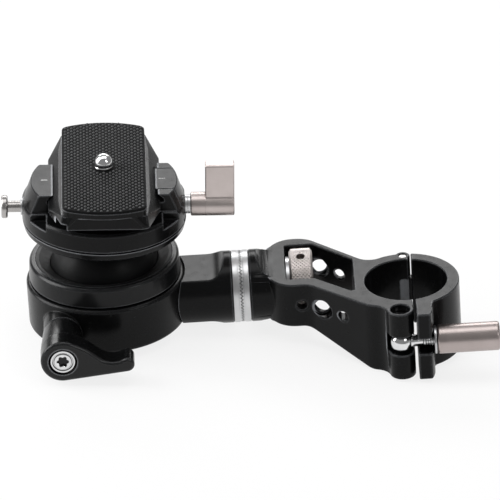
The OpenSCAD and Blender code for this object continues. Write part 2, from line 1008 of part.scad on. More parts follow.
module ball() {
    color(black)
        head_frame()
            translate([0, 0, -head_up])
                difference() {
                    union() {
                        sphere(r = ball_r);
                        cylinder(r = stem_r, h = head_up - platform_t - seat_play);
                    }
                    translate([0, 0, -far - ball_cut])
                        cylinder(r = ball_r, h = far);
                    translate([0, 0, head_up - platform_t - seat_play])
                        cylinder(r = ball_r, h = far);
                    translate([0, 0, head_up - platform_t - stem_screw_l])
                        cylinder(r = stem_screw_d / 2 + seat_play, h = far);
                }
}

module platform() {
    color(black)
        head_frame()
            difference() {
                union() {
                    rotate_extrude()
                        polygon([
                            [0, -platform_t], [head_r - platform_taper - edge, -platform_t],
                            [head_r - platform_taper, edge - platform_t], [head_r, 0], [0, 0]
                        ]);
                    cylinder(r = pan_boss_r, h = recess_z);
                }
                translate([0, 0, -slip_t])
                    tube(slip_r1 + seat_play, slip_r0 - seat_play, far);
                translate([0, 0, -far / 2])
                    cylinder(r = stem_screw_d / 2 + seat_play, h = far);
            }
}

module slip_ring() {
    color("#d7d2c4")
        head_frame()
            translate([0, 0, -slip_t + seat_play])
                tube(slip_r1, slip_r0, slip_t - seat_play);
}

module pan_retainer() {
    color(steel)
        head_frame()
            translate([0, 0, recess_z + seat_play])
                tube(retainer_r, stem_screw_d / 2 + seat_play, retainer_t);
}

module stem_screw() {
    head_z = recess_z + retainer_t + 2 * seat_play;
    color(steel)
        head_frame()
            translate([0, 0, head_z]) {
                difference() {
                    chamfered(stem_head_r, stem_head_h, hinge_land);
                    translate([0, 0, stem_head_h])
                        hex_socket(stem_screw_d, stem_head_h / 2);
                }
                translate([0, 0, -head_z - platform_t - stem_screw_l + face_play])
                    cylinder(r = stem_screw_d / 2, h = head_z + platform_t + stem_screw_l);
            }
}

// Outer form of disc and towers
module head_envelope() {
    rotate_extrude()
        polygon([
            [0, face_play], [head_r, face_play], [head_r, disc_h - edge], [head_r - edge, disc_h],
            [cone_top, jaw_h - edge / 2], [cone_top - edge / 2, jaw_h], [0, jaw_h]
        ]);
}

// Section of a jaw at the right side, with its dovetail set back by a distance
module jaw_section(back, x0, z0) {
    translate([0, far / 2, 0])
        rotate([90, 0, 0])
            linear_extrude(far)
                polygon([
                    [x0, z0], [far, z0], [far, jaw_h], [jaw_edge + back, jaw_h],
                    [jaw_back + back, dove_z - dove_play + body_gap / 2], [jaw_back + back, ledge_z], [x0, ledge_z]
                ]);
}

module y_band(half, x0, z0) {
    translate([x0, -half, z0])
        cube([far, 2 * half, far]);
}

module clamp_body() {
    color(black)
        head_frame()
            difference() {
                intersection() {
                    head_envelope();
                    union() {
                        translate([0, 0, face_play])
                            cylinder(r = head_r, h = disc_h - face_play);
                        intersection() {
                            jaw_section(shoulder_back, ledge_x, disc_h - eps);
                            y_band(tower_w, 0, 0);
                        }
                        intersection() {
                            mirror([1, 0, 0])
                                jaw_section(0, ledge_x, disc_h - eps);
                            mirror([1, 0, 0])
                                y_band(tower_w, 0, 0);
                        }
                    }
                }
                translate([0, 0, -eps])
                    cylinder(r = pan_boss_r + run_play, h = far);
                translate([0, 0, recess_z - face_play + seat_play])
                    cylinder(r = retainer_well, h = far);
                y_band(jaw_slot, slot_x0, slot_z0);
                y_band(jaw_slot, jaw_face - body_gap, -eps);
                scoops();
                translate([0, 0, cross_z]) {
                    along_x(screw_x0)
                        cylinder(r = screw_d / 2 + run_play, h = far);
                    along_x(-far)
                        cylinder(r = pin_d / 2 + run_play, h = far + dog_x + dog_slot);
                    along_x(-far)
                        cylinder(r = chamber_r, h = far + chamber_x);
                }
                translate([dog_x - pin_travel - dog_slot, -dog_slot, cross_z])
                    cube([pin_travel + 2 * dog_slot, 2 * dog_slot, far]);
            }
}

// Hollows in the disc's top, in front of and behind each tower
module scoops() {
    for (sx = [-1, 1])
        for (sy = [-1, 1])
            scale([sx, sy, 1])
                translate([scoop_x, tower_w + edge, scoop_z])
                    cube([far, far, far]);
}

module moving_jaw() {
    color(black)
        head_frame()
            difference() {
                intersection() {
                    head_envelope();
                    jaw_section(0, jaw_x0, jaw_z0);
                    y_band(jaw_w, 0, 0);
                    along_x(0)
                        cylinder(r = far, h = jaw_face);
                }
                translate([0, 0, cross_z]) {
                    along_x(0)
                        cylinder(r = screw_d / 2 + run_play, h = far);
                    along_x(0)
                        cylinder(r = screw_d / 2 + spring_play + jaw_spring_w + seat_play, h = jaw_x0 + jaw_spring_l);
                }
            }
}

module jaw_spring() {
    color(steel)
        head_frame()
            translate([0, 0, cross_z])
                along_x(jaw_x0 - spring_play)
                    tube(screw_d / 2 + spring_play + jaw_spring_w, screw_d / 2 + spring_play, jaw_spring_l);
}

module jaw_washers() {
    color(silver)
        head_frame()
            translate([0, 0, cross_z])
                for (i = [0, 1])
                    along_x(jaw_face + face_play + i * (washer_t + face_play))
                        tube(washer_r, screw_d / 2 + run_play, washer_t);
}

module qr_lever() {
    paddle_x = lever_x0 + lever_l - paddle_w;
    color(champagne)
        head_frame()
            translate([0, 0, cross_z])
                difference() {
                    union() {
                        along_x(lever_x0)
                            chamfered(lever_r, lever_l, hinge_land);
                        translate([paddle_x, -paddle_t / 2, 0])
                            cube([paddle_w, paddle_t, paddle_h]);
                    }
                    along_x(lever_x0 - eps)
                        cylinder(r = screw_d / 2 + seat_play, h = lever_bore + eps);
                }
}

module qr_screw() {
    color(steel)
        head_frame()
            translate([0, 0, cross_z])
                along_x(screw_x0 + face_play)
                    chamfered(screw_d / 2, lever_x0 + lever_bore - screw_x0 - 2 * face_play, hinge_land);
}

module pull_pin() {
    color(steel)
        head_frame()
            translate([0, 0, cross_z])
                union() {
                    along_x(pin_x0)
                        cylinder(r = pin_d / 2, h = dog_x + dog_d / 2 - pin_x0);
                    along_x(chamber_x - face_play - pin_collar_t)
                        cylinder(r = pin_collar_r, h = pin_collar_t);
                    translate([dog_x, 0, 0])
                        cylinder(r = dog_d / 2, h = dog_z - cross_z);
                }
}

module pull_head() {
    color(steel)
        head_frame()
            translate([0, 0, cross_z])
                along_x(pin_x0 - pin_head_t - seat_play)
                    chamfered(pin_head_d / 2, pin_head_t, hinge_land);
}

module pull_bush() {
    color(silver)
        head_frame()
            translate([0, 0, cross_z])
                along_x(-head_r - bush_flange)
                    tube(bush_r, pin_d / 2 + run_play, bush_l + bush_flange);
}

module pull_spring() {
    start = -head_r + bush_l + face_play;
    color(steel)
        head_frame()
            translate([0, 0, cross_z])
                along_x(start)
                    tube(pin_d / 2 + spring_play + pull_wire, pin_d / 2 + spring_play,
                        chamber_x - 2 * face_play - pin_collar_t - start);
}

// Plate

module plate_plan(half, end, inset) {
    intersection() {
        circle(r = end);
        polygon([
            for (c = [[1, 1], [-1, 1], [-1, -1], [1, -1]])
                each (c[0] * c[1] > 0)
                    ? [[c[0] * half, c[1] * plate_side / 2], [c[0] * (half - inset), c[1] * chamfer_y]]
                    : [[c[0] * (half - inset), c[1] * chamfer_y], [c[0] * half, c[1] * plate_side / 2]]
        ]);
    }
}

module pad_plan() {
    smooth(pad_corner)
        intersection() {
            circle(r = pad_end);
            square([2 * pad_w, 2 * far], center = true);
        }
}

module qr_plate() {
    color(black)
        head_frame()
            difference() {
                union() {
                    hull() {
                        translate([0, 0, plate_z])
                            linear_extrude(edge_h)
                                plate_plan(plate_w, plate_end, chamfer_in);
                        translate([0, 0, block_z - eps])
                            linear_extrude(eps)
                                plate_plan(slope_top, plate_end - end_slope, slope_top - pad_w);
                    }
                    translate([0, 0, block_z - eps])
                        linear_extrude(raise_h + eps)
                            pad_plan();
                }
                translate([0, 0, plate_z - eps])
                    cylinder(r = camera_well_r, h = camera_well_h + eps);
                cylinder(r = camera_d / 2 + run_play, h = far);
                translate([0, 0, pad_z - clip_well])
                    cylinder(r = clip_r + body_gap, h = far);
                translate([dog_x - dog_slot, -stop_half, plate_z - eps])
                    cube([2 * dog_slot, 2 * stop_half, groove_depth + eps]);
                translate([dog_x - pin_travel - dog_slot, -far / 2, plate_z - eps])
                    cube([2 * dog_slot, far, groove_depth + eps]);
            }
}

module plate_pad() {
    color(rubber)
        head_frame()
            difference() {
                translate([0, 0, pad_z + seat_play])
                    linear_extrude(pad_t)
                        pad_plan();
                cylinder(r = pad_hole_r, h = far);
            }
}

module camera_screw() {
    top = plate_top + camera_up;
    color(chrome)
        head_frame()
            difference() {
                union() {
                    translate([0, 0, plate_z + camera_well_h - camera_head_h - face_play])
                        chamfered(camera_head_r, camera_head_h, hinge_land);
                    translate([0, 0, plate_z + face_play + camera_head_h / 2])
                        cylinder(r = neck_d / 2, h = thread_z - plate_z - camera_head_h / 2);
                    intersection() {
                        translate([0, 0, thread_z])
                            cylinder(r = camera_d / 2, h = far);
                        translate([0, 0, top - dome_sphere])
                            sphere(r = dome_sphere);
                    }
                }
                translate([-far / 2, -camera_slot_w / 2, plate_z])
                    cube([far, camera_slot_w, camera_slot_h + camera_well_h - camera_head_h]);
            }
}

module screw_clip() {
    color(steel)
        head_frame()
            translate([0, 0, pad_z - clip_well + face_play])
                tube(clip_r, neck_d / 2 + seat_play, clip_t);
}

bracket();
bracket_rosette();
tie_knob();
tie_bolt();
tie_washer();
clamp_cap();
hinge_pin();
swing_bolt();
swing_pin();
clamp_washer();
clamp_nut();
neck();
neck_rosette();
neck_screws();
housing();
collar();
collar_liner();
seat_spring();
ball_seat();
lock_bolt();
lock_lever();
lever_screw();
ball();
platform();
slip_ring();
pan_retainer();
stem_screw();
clamp_body();
moving_jaw();
jaw_spring();
jaw_washers();
qr_lever();
qr_screw();
pull_pin();
pull_head();
pull_bush();
pull_spring();
qr_plate();
plate_pad();
camera_screw();
screw_clip();
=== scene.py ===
import json
import math

import bmesh
import bpy
from mathutils import Matrix, Vector
from mathutils.bvhtree import BVHTree
from mathutils.kdtree import KDTree


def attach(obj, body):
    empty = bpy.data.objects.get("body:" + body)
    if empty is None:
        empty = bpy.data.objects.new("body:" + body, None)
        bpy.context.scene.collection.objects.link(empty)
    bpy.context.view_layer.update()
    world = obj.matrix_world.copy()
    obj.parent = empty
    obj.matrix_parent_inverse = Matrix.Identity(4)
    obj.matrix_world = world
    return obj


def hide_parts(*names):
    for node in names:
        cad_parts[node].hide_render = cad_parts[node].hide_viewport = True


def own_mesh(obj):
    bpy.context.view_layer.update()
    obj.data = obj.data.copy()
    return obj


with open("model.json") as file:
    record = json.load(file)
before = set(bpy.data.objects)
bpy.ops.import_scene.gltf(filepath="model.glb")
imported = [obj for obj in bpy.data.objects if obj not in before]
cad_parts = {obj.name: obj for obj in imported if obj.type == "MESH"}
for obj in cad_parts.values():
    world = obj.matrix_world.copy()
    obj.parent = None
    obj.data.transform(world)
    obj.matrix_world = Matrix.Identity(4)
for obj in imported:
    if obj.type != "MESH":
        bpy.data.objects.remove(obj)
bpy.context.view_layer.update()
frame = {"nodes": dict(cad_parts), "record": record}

NODES = frame["nodes"]
BODY = {n: b for b, members in frame["record"]["behaviour"]["bodies"].items() for n in members}
MM = 0.001

# Sizes repeated from the part's source, in millimetres. HEAD_TILT and KNOB_HOLE_TURN are degrees
ARM_Y, ARM_Z = 16.9, 4.5
BASE_X, BALL_Z, HEAD_UP, HEAD_TILT = -102.2, 13.5, 22.1, 3.0
ARM_HOLES = ((-35.6, 1.7), (-28.8, 3.175), (-22.0, 1.7))
SWING_X, SWING_Y = -2.9, -20.2
EYE_R, EYE_H, EYE_BORE, SHANK_R, THREAD_X = 3.9, 3.1, 1.85, 2.0, 7.5
BOLT_R, BOLT_END = 2.4, 29.1
KNOB_X, KNOB_L, KNOB_R, KNOB_BORE = -39.2, 8.0, 11.6, 3.02
KNOB_HOLE_R, KNOB_HOLE_TURN = 1.5, 10.0
COLLAR_R, ROSETTE_T, TEETH, TOOTH_H, TOOTH_RO, TOOTH_RI = 12.4, 3.0, 60, 0.9, 12.25, 7.5
MESH_X, ROSETTE_BORE = -56.0, 3.3
LEVER_X, HUB_Y, HUB_R, HUB_L = -117.5, -9.55, 7.5, 18.9
HANDLE_W, TIP_X, TIP_Y, TIP_R = 8.4, 21.5, -2.75, 2.6
PAD_W, PAD_END, PAD_CORNER, PAD_Z, PAD_T = 14.2, 32.4, 3.0, 17.62, 1.1
CAMERA_R, CAMERA_TOP = 3.175, 23.3
CAMERA_HEAD_R, CAMERA_HEAD_Z0, CAMERA_HEAD_Z1, CAMERA_CHAMFER = 7.8, 11.0, 12.8, 0.4
JAW_TOP, CROSS_Z = 13.6, 3.6
CLAMP_X, CLAMP_L, CLAMP_R, PADDLE_W, PADDLE_H, PADDLE_T = 29.4, 14.9, 4.1, 9.9, 15.6, 4.6
COIL_X0, COIL_X1, COIL_R, WIRE_R, PIN_TRAVEL = -25.1, -19.6, 2.4, 0.25, 3.0
# Thread pitches, which the source's plain cylinders leave out
QUARTER_PITCH, BOLT_PITCH = 1.27, 0.8

# Places of the pieces: the local Z axis is the axis that each is turned about or stacked along
HEAD = (
    Matrix.Translation((BASE_X, ARM_Y, BALL_Z))
    @ Matrix.Rotation(math.radians(HEAD_TILT), 4, "Y")
    @ Matrix.Translation((0, 0, HEAD_UP))
)
ALONG_X = Matrix.Rotation(math.pi / 2, 4, "Y")
ALONG_Y = Matrix.Rotation(math.pi / 2, 4, "X")
# The head's cross axis as local Z, with the head's own Z as local Y
CROSS = HEAD @ Matrix.Translation((0, 0, CROSS_Z)) @ Matrix((
    (0, 0, 1, 0), (1, 0, 0, 0), (0, 1, 0, 0), (0, 0, 0, 1)))
ARM = Matrix.Translation((0, ARM_Y, ARM_Z)) @ ALONG_X
SWING = Matrix.Translation((SWING_X, SWING_Y, 0))
LEVER = Matrix.Translation((LEVER_X, HUB_Y, ARM_Z)) @ ALONG_Y


# Materials

# Noise scales, in cells per metre
CLOUD_SCALE, BLAST_SCALE, GLOSS_SCALE = 60.0, 4200.0, 350.0
TINT_SCALE, TURNED_SCALE = 140.0, 5200.0
CHROME_SCALE, SMEAR_SCALE, RIPPLE_SCALE = 260.0, 700.0, 1500.0
MOULD_TINT_SCALE, MOULD_GLOSS_SCALE, MOULD_SCALE, PAD_SCALE = 220.0, 500.0, 2600.0, 5200.0
FLOOR_SCALE = 8.0
# Octaves of a noise
PLAIN, CLOUDY, STREAKY = 2.0, 3.0, 4.0
# The share of a noise's range that is used
NOISE_LOW, NOISE_HIGH = 0.3, 0.7
# How far the roughness strays below and above its own value
BLAST_SPREAD, TURNED_SPREAD = (-0.04, 0.05), (-0.05, 0.08)
CHROME_SPREAD, MOULD_SPREAD = (0.0, 0.06), (-0.05, 0.06)
# Lathe lines: noise drawn out round the X axis
LATHE_STRETCH, LATHE_STRENGTH, LATHE_ROUGH = (1.0, 0.02, 0.02), 0.08, 0.7
# Bump depths, in metres
BLAST_DEPTH, LATHE_DEPTH, RIPPLE_DEPTH, MOULD_DEPTH = 0.00006, 0.00005, 0.00003, 0.00008
RIPPLE_STRENGTH = 0.02
# Painted shade in crevices and a painted highlight along outer edges, by the share of open rays
CREVICE_SHUT, CREVICE_OPEN, CREVICE_SAMPLES = 0.35, 0.8, 8
METAL_CREVICE_SHADE, CHROME_CREVICE_SHADE = 0.03, 0.06
HIGHLIGHT_NONE, HIGHLIGHT_FULL, HIGHLIGHT_SAMPLES, HIGHLIGHT_MM = 0.92, 0.45, 6, 0.6
SEAM_SHUT, SEAM_OPEN = 0.7, 0.95
EDGE_SAMPLES, TURNED_EDGE_MM = 4, 0.15
# Colour sockets of a Mix node
MIX_A, MIX_B, MIX_OUT = 6, 7, 2


class Nodes:
    """A short way to write a material's node tree."""

    def __init__(self, name):
        self.mat = bpy.data.materials.new(name)
        self.mat.use_nodes = True
        self.tree = self.mat.node_tree
        self.tree.nodes.clear()
        self.out = self.add("ShaderNodeOutputMaterial")
        self.bsdf = self.add("ShaderNodeBsdfPrincipled")
        self.link(self.bsdf, "BSDF", self.out, "Surface")
        self.coord = self.add("ShaderNodeTexCoord")

    def add(self, kind, **values):
        node = self.tree.nodes.new(kind)
        for key, value in values.items():
            setattr(node, key, value)
        return node

    def link(self, a, out, b, into):
        self.tree.links.new(a.outputs[out], b.inputs[into])

    def noise(self, scale, detail=PLAIN, stretch=None, rough=0.5):
        node = self.add("ShaderNodeTexNoise")
        node.inputs["Scale"].default_value = scale
        node.inputs["Detail"].default_value = detail
        node.inputs["Roughness"].default_value = rough
        if stretch is None:
            self.link(self.coord, "Object", node, "Vector")
        else:
            mapping = self.add("ShaderNodeMapping")
            mapping.inputs["Scale"].default_value = stretch
            self.link(self.coord, "Object", mapping, "Vector")
            self.link(mapping, "Vector", node, "Vector")
        return node

    def ramp(self, source, low, high):
        """A colour that goes from low to high with a noise."""
        node = self.add("ShaderNodeValToRGB")
        node.color_ramp.elements[0].position = NOISE_LOW
        node.color_ramp.elements[1].position = NOISE_HIGH
        node.color_ramp.elements[0].color = (*low, 1.0)
        node.color_ramp.elements[1].color = (*high, 1.0)
        self.link(source, "Fac", node, "Fac")
        return node

    def measure(self, source, out, start, end, low=0.0, high=1.0):
        """A value that goes from low to high as the source goes from start to end."""
        node = self.add("ShaderNodeMapRange")
        node.inputs["From Min"].default_value = start
        node.inputs["From Max"].default_value = end
        node.inputs["To Min"].default_value = low
        node.inputs["To Max"].default_value = high
        self.link(source, out, node, "Value")
        return node

    def gloss(self, source, rough, spread):
        """Lets the roughness stray below and above its own value with a noise."""
        low, high = spread
        level = self.measure(source, "Fac", NOISE_LOW, NOISE_HIGH, rough + low, rough + high)
        self.link(level, "Result", self.bsdf, "Roughness")

    def occlusion(self, reach, samples, **values):
        node = self.add("ShaderNodeAmbientOcclusion", samples=samples, **values)
        node.inputs["Distance"].default_value = reach * MM
        return node

    def paint_crevice_shade(self, colour, reach, dark):
        """Paints shade into a colour: darkens it in gaps narrower than the reach."""
        shade = self.occlusion(reach, CREVICE_SAMPLES)
        tone = self.measure(shade, "AO", CREVICE_SHUT, CREVICE_OPEN, dark)
        mix = self.add("ShaderNodeMix", data_type="RGBA", blend_type="MULTIPLY")
        mix.inputs["Factor"].default_value = 1.0
        self.link(colour, "Color", mix, MIX_A)
        self.link(tone, "Result", mix, MIX_B)
        self.link(mix, MIX_OUT, self.bsdf, "Base Color")

    def paint_edge_highlight(self, colour, edge, reach):
        """Paints a highlight: lightens a colour within the reach of outer edges, apart from those inside a
        seam.
        """
        thin = self.occlusion(reach, HIGHLIGHT_SAMPLES, inside=True, only_local=True)
        near_edge = self.measure(thin, "AO", HIGHLIGHT_NONE, HIGHLIGHT_FULL)
        clear = self.occlusion(2 * reach, HIGHLIGHT_SAMPLES)
        outside_seam = self.measure(clear, "AO", SEAM_SHUT, SEAM_OPEN)
        both = self.add("ShaderNodeMath", operation="MULTIPLY")
        self.link(near_edge, "Result", both, 0)
        self.link(outside_seam, "Result", both, 1)
        mix = self.add("ShaderNodeMix", data_type="RGBA")
        mix.inputs[MIX_B].default_value = (*edge, 1.0)
        self.link(both, "Value", mix, "Factor")
        self.link(colour, "Color", mix, MIX_A)
        self.link(mix, MIX_OUT, self.bsdf, "Base Color")

    def soft_edge(self, round_mm):
        node = self.add("ShaderNodeBevel", samples=EDGE_SAMPLES)
        node.inputs["Radius"].default_value = round_mm * MM
        return node

    def bump(self, source, strength, depth, under=None):
        node = self.add("ShaderNodeBump")
        node.inputs["Strength"].default_value = strength
        node.inputs["Distance"].default_value = depth
        self.link(source, "Fac", node, "Height")
        if under is not None:
            self.link(under, "Normal", node, "Normal")
        self.link(node, "Normal", self.bsdf, "Normal")


def anodised(name, low, high, rough, grain, shine, round_mm=0.25):
    """Bead-blasted and anodised aluminium: fine grain, slight cloudiness, softened edges with a painted
    highlight along them.
    """
    n = Nodes(name)
    n.paint_edge_highlight(n.ramp(n.noise(CLOUD_SCALE, CLOUDY), low, high), EDGE_HIGHLIGHT, HIGHLIGHT_MM)
    n.gloss(n.noise(GLOSS_SCALE, CLOUDY), rough, BLAST_SPREAD)
    n.bump(n.noise(BLAST_SCALE), grain, BLAST_DEPTH, n.soft_edge(round_mm))
    n.bsdf.inputs["Specular IOR Level"].default_value = shine
    return n.mat


def turned(name, low, high, rough, lines=TURNED_SCALE, gap=0.0):
    """Bare or tinted metal with fine lathe lines that run round the X axis, and with a gap, painted shade in
    crevices narrower than it.
    """
    n = Nodes(name)
    marks = n.noise(lines, STREAKY, LATHE_STRETCH, LATHE_ROUGH)
    colour = n.ramp(n.noise(TINT_SCALE, CLOUDY), low, high)
    if gap:
        n.paint_crevice_shade(colour, gap, METAL_CREVICE_SHADE)
    else:
        n.link(colour, "Color", n.bsdf, "Base Color")
    n.gloss(marks, rough, TURNED_SPREAD)
    n.bump(marks, LATHE_STRENGTH, LATHE_DEPTH, n.soft_edge(TURNED_EDGE_MM))
    n.bsdf.inputs["Metallic"].default_value = 1.0
    return n.mat


def polished(name, low, high, rough, gap):
    """Chromed steel with faint handling marks, and painted shade in crevices narrower than the gap."""
    n = Nodes(name)
    n.paint_crevice_shade(n.ramp(n.noise(CHROME_SCALE, STREAKY), low, high), gap, CHROME_CREVICE_SHADE)
    n.gloss(n.noise(SMEAR_SCALE, STREAKY), rough, CHROME_SPREAD)
    n.bump(n.noise(RIPPLE_SCALE, CLOUDY), RIPPLE_STRENGTH, RIPPLE_DEPTH)
    n.bsdf.inputs["Metallic"].default_value = 1.0
    return n.mat


def moulded(name, low, high, rough, grain=0.12, scale=MOULD_SCALE, shine=0.3):
    """Rubber or plastic with a moulded grain."""
    n = Nodes(name)
    n.link(n.ramp(n.noise(MOULD_TINT_SCALE, CLOUDY), low, high), "Color", n.bsdf, "Base Color")
    n.gloss(n.noise(MOULD_GLOSS_SCALE, CLOUDY), rough, MOULD_SPREAD)
    n.bump(n.noise(scale), grain, MOULD_DEPTH)
    n.bsdf.inputs["Specular IOR Level"].default_value = shine
    return n.mat


COOL = (1.0, 1.03, 1.09)


def grey(v):
    """A slightly cool grey."""
    return tuple(v * share for share in COOL)


# Colour of the painted highlight along the outer edges of black parts
EDGE_HIGHLIGHT = grey(0.28)
BLACK = anodised("black_anodised", grey(0.003), grey(0.005), 0.23, 0.012, 0.14)
BLACK_TURNED = anodised("black_turned", grey(0.005), grey(0.008), 0.21, 0.03, 0.2)
BALL_BLACK = anodised("ball_black", grey(0.004), grey(0.006), 0.42, 0.05, 0.12)
LEVER_BLACK = anodised("black_lever", grey(0.003), grey(0.005), 0.2, 0.02, 0.3, 0.5)
# One rubber twice: the sheet a darker copy as painted shade between the studs, the studs a lighter copy as
# painted highlight on their tops
SHADED_PAD_RUBBER = moulded("pad_rubber_shaded", grey(0.004), grey(0.007), 0.6, 0.1, PAD_SCALE, 0.06)
LIT_STUD_RUBBER = moulded("stud_rubber_lit", grey(0.03), grey(0.042), 0.38, 0.05, PAD_SCALE, 0.6)
LINER = moulded("liner_black", grey(0.006), grey(0.009), 0.45)
# A gap is the reach, in millimetres, of painted shade that darkens the colour in narrower crevices
SILVER = turned("machined_silver", (0.55, 0.555, 0.56), (0.67, 0.67, 0.675), 0.34, gap=0.5)
WASHER = turned("bright_washer", (0.5, 0.5, 0.51), (0.62, 0.62, 0.63), 0.28, lines=4200.0)
KNURLED = turned("champagne_knurled", (0.6, 0.55, 0.53), (0.68, 0.63, 0.61), 0.3, gap=0.22)
CHAMPAGNE = turned("champagne_anodised", (0.52, 0.46, 0.44), (0.59, 0.525, 0.505), 0.37, gap=0.6)
CHAMPAGNE_DEEP = turned("champagne_deep", (0.41, 0.355, 0.34), (0.47, 0.41, 0.395), 0.33, gap=0.6)
STEEL = turned("plain_steel", (0.4, 0.385, 0.375), (0.48, 0.465, 0.455), 0.28, lines=3800.0)
CHROME = polished("chrome", (0.7, 0.705, 0.71), (0.8, 0.8, 0.805), 0.11, 0.5)
# The screw's own chrome, whose wide reach paints shade over the socket's walls and floor
SOCKET = polished("chrome_socket", (0.66, 0.665, 0.67), (0.76, 0.76, 0.765), 0.07, 0.9)
TICK = moulded("tick_white", (0.75, 0.75, 0.74), (0.85, 0.85, 0.84), 0.5, 0.02)

LOOKS = {
    BLACK: ["bracket", "clamp_cap", "neck", "housing", "platform", "clamp_body", "moving_jaw", "qr_plate"],
    BLACK_TURNED: ["collar"],
    BALL_BLACK: ["ball"],
    LEVER_BLACK: ["lock_lever"],
    SHADED_PAD_RUBBER: ["plate_pad"],
    LINER: ["collar_liner", "slip_ring"],
    SILVER: ["bracket_rosette", "neck_rosette", "ball_seat", "jaw_washers", "pull_bush"],
    WASHER: ["tie_washer", "clamp_washer"],
    CHAMPAGNE: ["tie_knob", "qr_lever"],
    CHAMPAGNE_DEEP: ["clamp_nut"],
    STEEL: [
        "tie_bolt", "hinge_pin", "neck_screws", "seat_spring", "lock_bolt", "pan_retainer", "stem_screw",
        "jaw_spring", "qr_screw", "pull_pin", "pull_head", "pull_spring", "screw_clip",
    ],
    CHROME: ["swing_bolt", "swing_pin", "lever_screw", "camera_screw"],
}
LOOK = {name: mat for mat, names in LOOKS.items() for name in names}
for name, node in NODES.items():
    node.data.materials.clear()
    node.data.materials.append(LOOK[name])


# Shapes: rings of vertices, joined into solids

def ring(bm, place, points):
    """Vertices at points that are given in a place's own millimetres."""
    return [bm.verts.new(place @ Vector(p) * MM) for p in points]


def around(bm, place, row):
    """A ring of (radius, height) pairs, spread evenly round the local Z axis."""
    points = []
    for i, (r, z) in enumerate(row):
        a = 2 * math.pi * i / len(row)
        points.append((r * math.cos(a), r * math.sin(a), z))
    return ring(bm, place, points)


def bridge(bm, rings, loop=False):
    """Quads between neighbouring rings, and in a loop from the last ring to the first."""
    for a, b in zip(rings, rings[1:] + (rings[:1] if loop else [])):
        for i in range(len(a)):
            j = (i + 1) % len(a)
            bm.faces.new((a[i], a[j], b[j], b[i]))


def capped(bm, rings):
    """A solid of neighbouring rings with a cap on each end."""
    bridge(bm, rings)
    bm.faces.new(rings[0])
    bm.faces.new(rings[-1])


def lathe(bm, profile, place, steps, closed=True):
    """Turns (radius, height) points about the local Z axis. A point on the axis is a pole."""
    rings = []
    for r, z in profile:
        rings.append(around(bm, place, [(r, z)] * (steps if r else 1)))
    for a, b in zip(rings, rings[1:] + (rings[:1] if closed else [])):
        for i in range(steps):
            j = (i + 1) % steps
            if len(a) == 1:
                bm.faces.new((a[0], b[i], b[j]))
            elif len(b) == 1:
                bm.faces.new((a[i], a[j], b[0]))
            else:
                bm.faces.new((a[i], a[j], b[j], b[i]))


# Rings in each turn, the groove left at each end, and the slope and offset that flatten crests and roots
THREAD_RINGS, RUN_OUT, FLANK, FLAT = 8, 0.15, 1.5, 0.25


def thread(bm, r_out, depth, pitch, z0, z1, place, steps, tip=()):
    """A threaded rod along the local Z axis, with a run-out at each end and an optional domed tip."""
    count = max(2, round((z1 - z0) / pitch * THREAD_RINGS))
    rings = []
    for k in range(count + 1):
        z = z0 + (z1 - z0) * k / count
        fade = min(1.0, (z - z0) / pitch + RUN_OUT, (z1 - z) / pitch + RUN_OUT)
        row = []
        for i in range(steps):
            turn = (z / pitch - i / steps) % 1.0
            groove = 1.0 - abs(2.0 * turn - 1.0)
            groove = min(1.0, max(0.0, groove * FLANK - FLAT))
            row.append((r_out - depth * groove * fade, z))
        rings.append(around(bm, place, row))
    for r, z in tip:
        rings.append(around(bm, place, [(r, z)] * steps))
    capped(bm, rings)


def slab(bm, outline, layers, place):
    """Stacks an outline: each layer is (inset, height)."""
    count = len(outline)
    normals = []
    for i in range(count):
        a, b, c = Vector(outline[i - 1]), Vector(outline[i]), Vector(outline[(i + 1) % count])
        t = ((b - a).normalized() + (c - b).normalized()).normalized()
        normals.append(Vector((t.y, -t.x)))
    rings = []
    for inset, z in layers:
        rings.append(ring(bm, place, [(*(Vector(p) - n * inset), z) for p, n in zip(outline, normals)]))
    capped(bm, rings)


def round_layers(z0, z1, r, steps):
    """Layers of a slab whose upper and lower edges are rounded."""
    low, high = [], []
    for k in range(steps + 1):
        a = math.pi / 2 * k / steps
        low.append((r * (1 - math.sin(a)), z0 + r * (1 - math.cos(a))))
        high.append((r * (1 - math.cos(a)), z1 - r * (1 - math.sin(a))))
    return low + high


def arc(x, y, r, start, end, steps):
    """Points on a circle, between two angles in degrees."""
    angles = [math.radians(start + (end - start) * k / steps) for k in range(steps + 1)]
    return [(x + r * math.cos(a), y + r * math.sin(a)) for a in angles]


def spline(points, steps):
    """A smooth curve through points, from the second to just short of the last but one."""
    curve = []
    for p0, p1, p2, p3 in zip(points, points[1:], points[2:], points[3:]):
        for k in range(steps):
            t = k / steps
            curve.append(tuple(
                0.5 * (
                    2 * b + (c - a) * t + (2 * a - 5 * b + 4 * c - d) * t * t
                    + (3 * b - a - 3 * c + d) * t ** 3
                )
                for a, b, c, d in zip(p0, p1, p2, p3)
            ))
    return curve


def finish_mesh(name, bm, material, body, replaced=(), angle=32.0, weighted=False):
    """A piece from a mesh: smooth below an angle, riding on a body, standing for the replaced nodes."""
    bmesh.ops.recalc_face_normals(bm, faces=bm.faces)
    mesh = bpy.data.meshes.new(name)
    bm.to_mesh(mesh)
    bm.free()
    mesh.shade_smooth()
    mesh.set_sharp_from_angle(angle=math.radians(angle))
    mesh.materials.append(material)
    obj = bpy.data.objects.new(name, mesh)
    bpy.context.scene.collection.objects.link(obj)
    if weighted:
        obj.modifiers.new("weighted", "WEIGHTED_NORMAL").keep_sharp = True
    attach(obj, body)
    if replaced:
        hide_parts(*replaced)
    return obj


# Cuts

CUTTER_STEPS = 40


